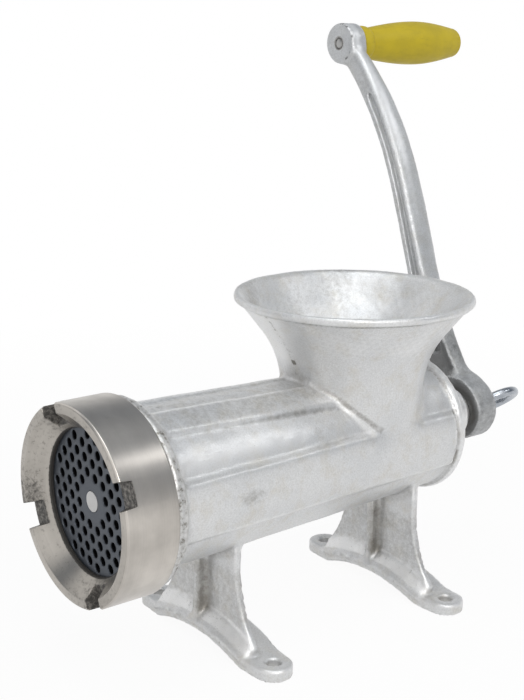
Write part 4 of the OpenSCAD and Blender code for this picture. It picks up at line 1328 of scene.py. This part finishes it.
def arm_field(u, v, w):
    """Distance to the arm: a bowed bar with bulging sides, less a deep groove in its front and rear faces."""
    t = np.interp(w, curve_w, curve_t)
    lean = np.interp(w, curve_w, curve_lean)
    across = (u - np.interp(w, curve_w, curve_u)) / np.sqrt(1 + lean * lean)
    flared = rising(t, 0.76, 0.24) ** 2
    half_width = (16.8 + 15.2 * (1 - t) ** 5 + 2.2 * flared) / 2 * MM
    half_depth = (14.5 + 2 * t + 6.5 * np.sin(np.pi * t) - 5.0 * flared) / 2 * MM
    bulge = 1.5 * MM * np.clip(v / half_depth, -1.5, 1.5) ** 2
    bar = round_max(np.abs(across) - half_width + bulge, np.abs(v) - half_depth, (4.6 + flared) * MM)
    bar = np.maximum(round_max(bar, -w - 8 * MM, 16 * MM), w - CRANK_RADIUS)
    ends = np.maximum(0.13 - t, t - 0.86) * CRANK_RADIUS
    beside = np.abs(across - GROOVE_SHIFT) - half_width + GROOVE_WALL
    groove = round_max(beside, half_depth - GROOVE_DEPTH - np.abs(v), 1.4 * MM)
    groove = round_max(groove, ends, 8 * MM)
    return round_max(bar, -groove, 1.2 * MM)


def lean_over(u, w):
    """Places across and up of the crank's own frame, turned by its lean."""
    cos, sin = math.cos(CRANK_LEAN), math.sin(CRANK_LEAN)
    return u * cos - w * sin, u * sin + w * cos


def crank_field(u, v, w):
    """Distance to the crank in its own upright frame, with the hub's centre at the origin."""
    hub_r = np.hypot(u, w)
    hub = round_max(hub_r - HUB_R, np.abs(v) - hub_half, 4 * MM)
    crank = round_min(arm_field(u, v, w), hub, 12 * MM)
    boss_r = np.hypot(u, w - CRANK_RADIUS)
    boss = round_max(boss_r - GRIP_BOSS_R, np.abs(v) - GRIP_BOSS_HALF, 2.5 * MM)
    crank = round_min(crank, boss, 5 * MM)
    lean_u, lean_w = lean_over(u, w)
    socket = np.maximum(np.maximum(np.abs(lean_u), np.abs(lean_w)) - SOCKET_HALF, v - hub_half + 5 * MM)
    recess = np.maximum(hub_r - RECESS_R, v + hub_half - 3 * MM)
    inside = np.minimum(np.minimum(socket, recess), hub_r - SCREW_HOLE_R)
    crank = round_max(crank, -inside, 1.0 * MM)
    crank = round_max(crank, -(boss_r - SPINDLE_HOLE_R), 1.0 * MM)
    return crank + 0.8 * uneven(u, v, w)


def leaned(points):
    """Points of the crank's own frame carried to their place on the grinder."""
    u, v, w = points.T
    across, rise = lean_over(u, w)
    return np.stack([across, v + arm_y, rise + axis_z], axis=1)


def crank_painted_shade(points):
    """Share of painted shade: on the hub's front, which runs close to the barrel's boss, down the arm towards the
    hub, and a little on the faces that look forwards."""
    u, v, w = points.T
    # Painted shade on the hub's front face.
    front = falling(v, 1.6 * MM - hub_half, 1.2 * MM) * (np.hypot(u, w) < 24 * MM)
    # Painted shade down the arm, most towards the hub.
    foot = 0.62 * falling(w, 110 * MM, 110 * MM) + 0.40 * hump(w, 48 * MM, 18 * MM)
    # Painted shade, a little, on faces that look forwards.
    faces_front = field_slope(crank_field, points, 0.3 * MM)[:, 1] < -0.6
    front_face_shade = 0.35 * faces_front * (w < 0.9 * CRANK_RADIUS)
    return np.maximum(1.1 * front, foot + front_face_shade)


def crank_wear_and_shade(points):
    """Share of dark specks, even over the crank and more round the boss's edge, and of painted shade all over the hub's
    recess.
    """
    u, v, w = points.T
    edge = hump(np.hypot(u, w - CRANK_RADIUS), 15 * MM, 1.2 * MM) * (np.abs(v + 7.5 * MM) < 2 * MM)
    # The hub's recess is filled with it as painted shade.
    recess = (np.hypot(u, w) < RECESS_R + 0.3 * MM) & (v < 0)
    return np.where(recess, 1.0, 0.24 + 0.28 * edge * (u > -4 * MM))


def arm_groove(points):
    """1 inside the grooves down the arm's front and rear, and 0 elsewhere."""
    u, v, w = points.T
    from_middle = np.abs(u - np.interp(w, curve_w, curve_u) - GROOVE_SHIFT)
    return np.where((from_middle < 3.6 * MM) & (w > 45 * MM) & (w < 0.88 * CRANK_RADIUS), 1.0, 0.0)


def crank_bend(points):
    """Bend of the crank, with less of a rubbed line along its edges, and a painted highlight stripe on its upper
    right side.

    The right wall of the groove beside it gets a painted highlight too.
    """
    u, v, w = points.T
    bend = bent(crank_field, points, 2.0 * MM)
    bend = np.where(bend > 0, 0.4 * bend, bend)
    to_right = rising(field_slope(crank_field, points, 0.3 * MM)[:, 0], 0.5, 0.3)
    upper = rising(w, 120 * MM, 90 * MM)
    # Painted highlight stripe on the upper right side, and on the groove's right wall.
    stripe = hump(v, -2.5 * MM, 4.0 * MM) * to_right * upper
    wall = arm_groove(points) * to_right * (0.5 + 0.5 * upper)
    return bend * (1 - arm_groove(points)) + 0.9 * np.maximum(stripe, wall)


crank_box = ((-26 * MM, -13 * MM, -26 * MM), (42 * MM, 13 * MM, CRANK_RADIUS + 19 * MM))
points, quads = field_surface(crank_field, *crank_box, 1.1 * MM)
make_piece(
    "crank_casting_skin", [(leaned(points), quads)], "crank", "crank_casting", crank_metal, ["crank_arm"],
    # Less painted corner shade in the groove down the arm.
    sheltered=sheltered(crank_field, points, 8 * MM) * (1 - 0.75 * arm_groove(points)),
    bend=crank_bend(points), worn=crank_wear_and_shade(points), soiled=crank_painted_shade(points),
)

# %% [markdown]
# ## Grip and spindle
# The grip is a turned handle, painted mustard yellow and rubbed by hands. It spins on a steel spindle whose
# front end is riveted over the crank's boss.

# %% Grip
grip_low, grip_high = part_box("grip")
grip_length = grip_high.y - grip_low.y
BEAD_END = 12


def grip_profile():
    """Closed section in mm: a bead, a groove, and a belly that swells and falls as a quarter sine to each side."""
    last = grip_length / MM - 3.5
    belly_at = BEAD_END + 0.52 * (grip_length / MM - BEAD_END)
    t = np.linspace(0.0, 1.0, 48)
    rise = np.stack([12.4 + 5.0 * np.sin(np.pi / 2 * t), BEAD_END + (belly_at - BEAD_END) * t], 1)
    fall = np.stack([12 + 5.4 * np.cos(np.pi / 2 * t), belly_at + (last - belly_at) * t], 1)[1:]
    a = np.linspace(0.0, np.pi / 2, 8)[1:]
    end = np.stack([8.5 + 3.5 * np.cos(a), last + 3.5 * np.sin(a)], 1)
    b = np.linspace(0.0, np.pi, 10)
    bead = np.stack([12.1 + 1.7 * np.sin(b), 5 - 4.9 * np.cos(b)], 1)
    hole = np.array([[7.8, last + 3.5], [7.8, last - 2.8], [5.05, last - 2.8], [5.05, 0.1]])
    return np.concatenate([bead, rise, fall, end, hole]) * MM + [0.0, grip_low.y]


def grip_finish():
    """Mustard paint: mottled by handling, greyer where dirt has rubbed in, with a soft sheen."""
    finish, tree = new_finish("grip_yellow")
    here = object_place(tree)
    mottle = noise(tree, here, 60.0, 4.0, 0.6)
    along = place(tree, "ShaderNodeMapping", {"Vector": here, "Scale": (1.0, 0.25, 1.0)}).outputs[0]
    smudge = noise(tree, along, 220.0, 4.0, 0.65)
    speck = noise(tree, here, 900.0, 2.0, 0.5)
    colour = blend_colour(tree, ramp(tree, mottle, 0.35, 0.65), (0.56, 0.435, 0.021, 1), (0.49, 0.38, 0.023, 1))
    colour = blend_colour(tree, ramp(tree, smudge, 0.55, 0.80, 0.0, 0.35), colour, (0.26, 0.20, 0.04, 1))
    height = math_node(tree, "MULTIPLY_ADD", speck, 0.4, smudge)
    principled(tree, {
        "Base Color": colour,
        "Roughness": ramp(tree, smudge, 0.3, 0.7, 0.42, 0.58),
        "Specular IOR Level": 0.25,
        "Normal": bump(tree, height, 0.12 * MM, 0.5),
    })
    return finish


grip_yellow = grip_finish()
grip_shell = lathe(grip_profile(), 96, grip_x, grip_z)
make_piece("grip_turned", [grip_shell], "handle", "grip_yellow", grip_yellow, ["grip"], sharp=50)

# %% Grip spindle
spindle_low, spindle_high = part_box("grip_spindle")
spindle_steel = turned_finish(
    "spindle_steel", (0.48, 0.48, 0.48, 1), (0.64, 0.64, 0.64, 1), (0.03, 0.028, 0.025, 1), 0.36, (grip_x, grip_z),
    grimy=True,
)
boss_front_y = spindle_low.y + 0.8 * MM
riveted_end = np.array([
    [0.0, -0.35], [2.4, -0.35], [3.1, -0.2], [3.5, 0.15], [4.2, 0.2], [4.6, -0.1], [5.2, -0.2], [5.8, -0.1], [6.0, 0.0],
    [5.0, 0.2],
]) * MM + [0.0, boss_front_y]
head = np.array([
    [5.0, -3.0], [7.0, -3.0], [7.5, -2.5], [7.5, -0.6], [6.9, 0.0], [0.0, 0.0],
]) * MM + [0.0, spindle_high.y]
spindle_shell = lathe_solid(np.concatenate([riveted_end, head]), 64, grip_x, grip_z)
x, y, z = spindle_shell[0].T
rivet_groove = hump(np.hypot(x - grip_x, z - grip_z), 4.0 * MM, 0.7 * MM)
make_piece(
    "grip_spindle_turned", [spindle_shell], "crank", "turned_steel", spindle_steel, ["grip_spindle"], sharp=40,
    grime=(y < boss_front_y + 0.3 * MM) * (0.15 + 0.65 * rivet_groove),
)

# %% [markdown]
# ## The thumb screw
# A zinc-plated eye screw holds the crank on its square. The eye and its shoulder are a small field, and the
# shank is a lathe grid whose radius follows the thread.

# %% Thumb screw
screw_low, screw_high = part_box("thumb_screw")
screw_seat_y = hub_rear_y + 0.3 * MM
eye_y = screw_high.y - 20 * MM
EYE_TURN = math.radians(52)
EYE_R = 16.5 * MM
EYE_WIRE_R = 3.5 * MM
SHOULDER_R = 10 * MM
SCREW_PITCH = 1.75 * MM


def eye_field(x, y, z):
    """Distance to the eye, a ring standing on a round shoulder."""
    rise = z - axis_z
    off = x * math.cos(EYE_TURN) - rise * math.sin(EYE_TURN)
    flat = x * math.sin(EYE_TURN) + rise * math.cos(EYE_TURN)
    eye = np.hypot(np.hypot(flat, y - eye_y) - EYE_R, off) - EYE_WIRE_R
    shoulder = disc_field(np.hypot(x, rise), y, SHOULDER_R, screw_seat_y, screw_seat_y + 4 * MM, 1.5 * MM)
    return round_min(eye, shoulder, 3 * MM)


def threaded_shank(tip_y, end_y, r, pitch, depth, columns=48):
    """Open profile grid with a helical thread: radius falls by depth times a triangle wave of y and angle."""
    y = np.linspace(tip_y, end_y, int((end_y - tip_y) / pitch * 8))[:, None]
    angle = round_angles(columns)
    eased_tip = 1.2 * MM * (1 - rising(y, tip_y, 1.5 * MM))
    skin = on_axis(r - depth * thread_wave(y, angle, pitch, -1) - eased_tip, y, angle)
    poles = on_axis(np.zeros((2, 1)), np.array([[tip_y], [end_y]]), 0.0)
    return np.concatenate([skin, poles]), grid_quads(len(y), columns, False), end_fans(len(y), columns)


def plain_finish(name, first, second, metallic, rough, mottled=120.0, fine=(900.0, 3.0, 0.6)):
    """Plain worn surface: two tones mixed by noise, with a fine bump."""
    finish, tree = new_finish(name)
    here = object_place(tree)
    mottle = noise(tree, here, mottled, 4.0, 0.6)
    principled(tree, {
        "Base Color": blend_colour(tree, ramp(tree, mottle, 0.3, 0.7), first, second),
        "Metallic": metallic,
        "Roughness": ramp(tree, mottle, 0.3, 0.7, rough - 0.06, rough + 0.08),
        "Normal": bump(tree, noise(tree, here, *fine), 0.05 * MM, 0.5),
    })
    return finish


zinc_steel = plain_finish(
    "zinc_steel", (0.34, 0.365, 0.40, 1), (0.50, 0.525, 0.56, 1), 1.0, 0.26, 180.0, (1400.0, 2.0, 0.5)
)
eye_low = Vector((-20 * MM, screw_seat_y, axis_z - 20 * MM)) - margin
eye_high = Vector((20 * MM, screw_high.y, axis_z + 20 * MM)) + margin
eye_shell = field_surface(eye_field, eye_low, eye_high, 0.8 * MM)
shank_shell = threaded_shank(screw_low.y, screw_seat_y + 0.5 * MM, 6 * MM, SCREW_PITCH, 0.8 * MM)
make_piece("thumb_screw_eye", [eye_shell, shank_shell], "screw", "zinc_steel", zinc_steel, ["thumb_screw"])

# %% [markdown]
# ## The auger
# Looking down the hopper, the feed screw shows. Its core is a lathe piece and its flight a section carried
# along a helix whose pitch shortens towards the outlet, so that the meat is squeezed on its way.

# %% Auger
knife_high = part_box("cross_knife")[1]
square_end_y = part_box("auger")[1].y
core_front_y = knife_high.y
core_rear_y = rear_inner_y - 3.3 * MM
FLIGHT_TURNS = 4
FLIGHT_SQUEEZE = 0.18
FLIGHT_ROOT = 10 * MM
FLIGHT_EDGE = 5 * MM
FLIGHT_GAP = 0.8 * MM
FLIGHT_SINK = 3 * MM
CORE_FRONT_R = 16 * MM
CORE_REAR_R = 20 * MM
JOURNAL_R = 14 * MM
STUD_BORE_R = 8.02 * MM
STUD_BORE_DEPTH = 31 * MM
SCREW_BORE_R = 6.05 * MM
SQUARE_HALF = 9.5 * MM
SQUARE_CORNER_R = 12.6 * MM
CHAMFER = 0.8 * MM


def core_r_at(y):
    """Core radius: a straight taper from the outlet to the rear."""
    return CORE_FRONT_R + (CORE_REAR_R - CORE_FRONT_R) * (y - core_front_y) / (core_rear_y - core_front_y)


def flight_shell():
    """Grid of the flight: rows along the helix, columns round a section with a waisted flank.

    At share u the turn is 2 pi turns u, and the place along the axis falls as u (1 + squeeze) - squeeze u u. The
    half thickness goes from the root's to the edge's, with more at the root as a fillet.
    """
    u = np.linspace(0.0, 1.0, 341)[:, None]
    squeezed = u * (1 + FLIGHT_SQUEEZE) - FLIGHT_SQUEEZE * u * u
    middle_y = core_rear_y - FLIGHT_ROOT / 2 - (core_rear_y - core_front_y - FLIGHT_ROOT) * squeezed
    flank = np.array([0.0, 0.12, 0.25, 0.4, 0.6, 0.8, 0.93, 1.0])
    share = np.concatenate([flank, flank[::-1]])[None, :]
    side = np.repeat([1.0, -1.0], len(flank))[None, :]
    half = FLIGHT_EDGE / 2 + (FLIGHT_ROOT - FLIGHT_EDGE) / 2 * (1 - share) ** 2.2
    half = half - np.where(share > 0.95, CHAMFER, 0.0)
    inner = core_r_at(middle_y) - FLIGHT_SINK
    r = inner + share * (bore_r(middle_y) - FLIGHT_GAP - inner)
    points = on_axis(r, middle_y + side * half, 2 * np.pi * FLIGHT_TURNS * u)
    rows, columns = len(u), share.shape[1]
    strip = np.arange(len(flank) - 1)
    cap = np.stack([strip, strip + 1, columns - 2 - strip, columns - 1 - strip], 1)
    return points, grid_quads(rows, columns, False), np.concatenate([cap[:, ::-1], cap + (rows - 1) * columns])


journal_end_y = hub_front_y + 2.7 * MM
core_profile = eased(np.array([
    [STUD_BORE_R, core_front_y], [CORE_FRONT_R, core_front_y], [CORE_REAR_R, core_rear_y], [JOURNAL_R, core_rear_y],
    [JOURNAL_R, journal_end_y], [SCREW_BORE_R, journal_end_y], [SCREW_BORE_R, core_front_y + STUD_BORE_DEPTH],
    [STUD_BORE_R, core_front_y + STUD_BORE_DEPTH],
]), 0.6 * MM)


def drive_square():
    """Square end with chamfered corners: the radius is the least of a square's and a circle's."""
    angle = round_angles(160)
    square_r = np.minimum(SQUARE_HALF / np.maximum(np.abs(np.sin(angle)), np.abs(np.cos(angle))), SQUARE_CORNER_R)
    inner = np.full_like(square_r, SCREW_BORE_R)
    start = hub_front_y + 2.2 * MM
    y = np.array([start, start, square_end_y - CHAMFER, square_end_y, square_end_y])[:, None]
    r = np.concatenate([inner, square_r, square_r, square_r - CHAMFER, inner])
    return on_axis(r, y, angle), grid_quads(len(y), angle.shape[1])


auger_shells = [lathe(core_profile, 96), flight_shell(), drive_square()]
auger_points = sum(len(shell[0]) for shell in auger_shells)
make_piece(
    "auger_casting", auger_shells, "rotor", "tinned_casting", tinned, ["auger"], sharp=40,
    sheltered=np.full(auger_points, 0.25), worn=np.full(auger_points, 0.25),
)

# %% [markdown]
# ## Small plain pieces
# The knife, stud, key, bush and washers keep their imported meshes. Welding the loose triangles together and
# bevelling the sharp edges by a fraction of a millimetre lets them catch the light.


# %% Small plain pieces
def dress(node, finish, bevel):
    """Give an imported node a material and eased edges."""
    piece = frame["nodes"][node]
    piece.data.materials.clear()
    piece.data.materials.append(finish)
    weld = piece.modifiers.new("weld", "WELD")
    weld.merge_threshold = 0.002 * MM
    ease = piece.modifiers.new("ease", "BEVEL")
    ease.width = bevel
    ease.segments = 2
    ease.limit_method = "ANGLE"
    ease.angle_limit = math.radians(40)


bush_bronze = plain_finish("bush_bronze", (0.50, 0.34, 0.15, 1), (0.36, 0.25, 0.12, 1), 1.0, 0.38)
washer_plastic = plain_finish("washer_plastic", (0.74, 0.71, 0.62, 1), (0.66, 0.62, 0.52, 1), 0.0, 0.5)
stud_steel = turned_finish("stud_steel", (0.50, 0.50, 0.50, 1), (0.66, 0.66, 0.66, 1), (0.12, 0.10, 0.08, 1), 0.36)
dress("auger_stud", stud_steel, 0.5 * MM)
dress("plate_key", turned_steel, 0.3 * MM)
dress("cross_knife", knife_steel, 0.5 * MM)
dress("rear_bush", bush_bronze, 0.4 * MM)
dress("thrust_washer", washer_plastic, 0.4 * MM)
dress("grip_washer", zinc_steel, 0.3 * MM)
print("dressed", sorted(frame["nodes"]))

# %% [markdown]
# ## Finish
# The view layer is brought up to date with the dressed pieces.

# %% Finish
bpy.context.view_layer.update()
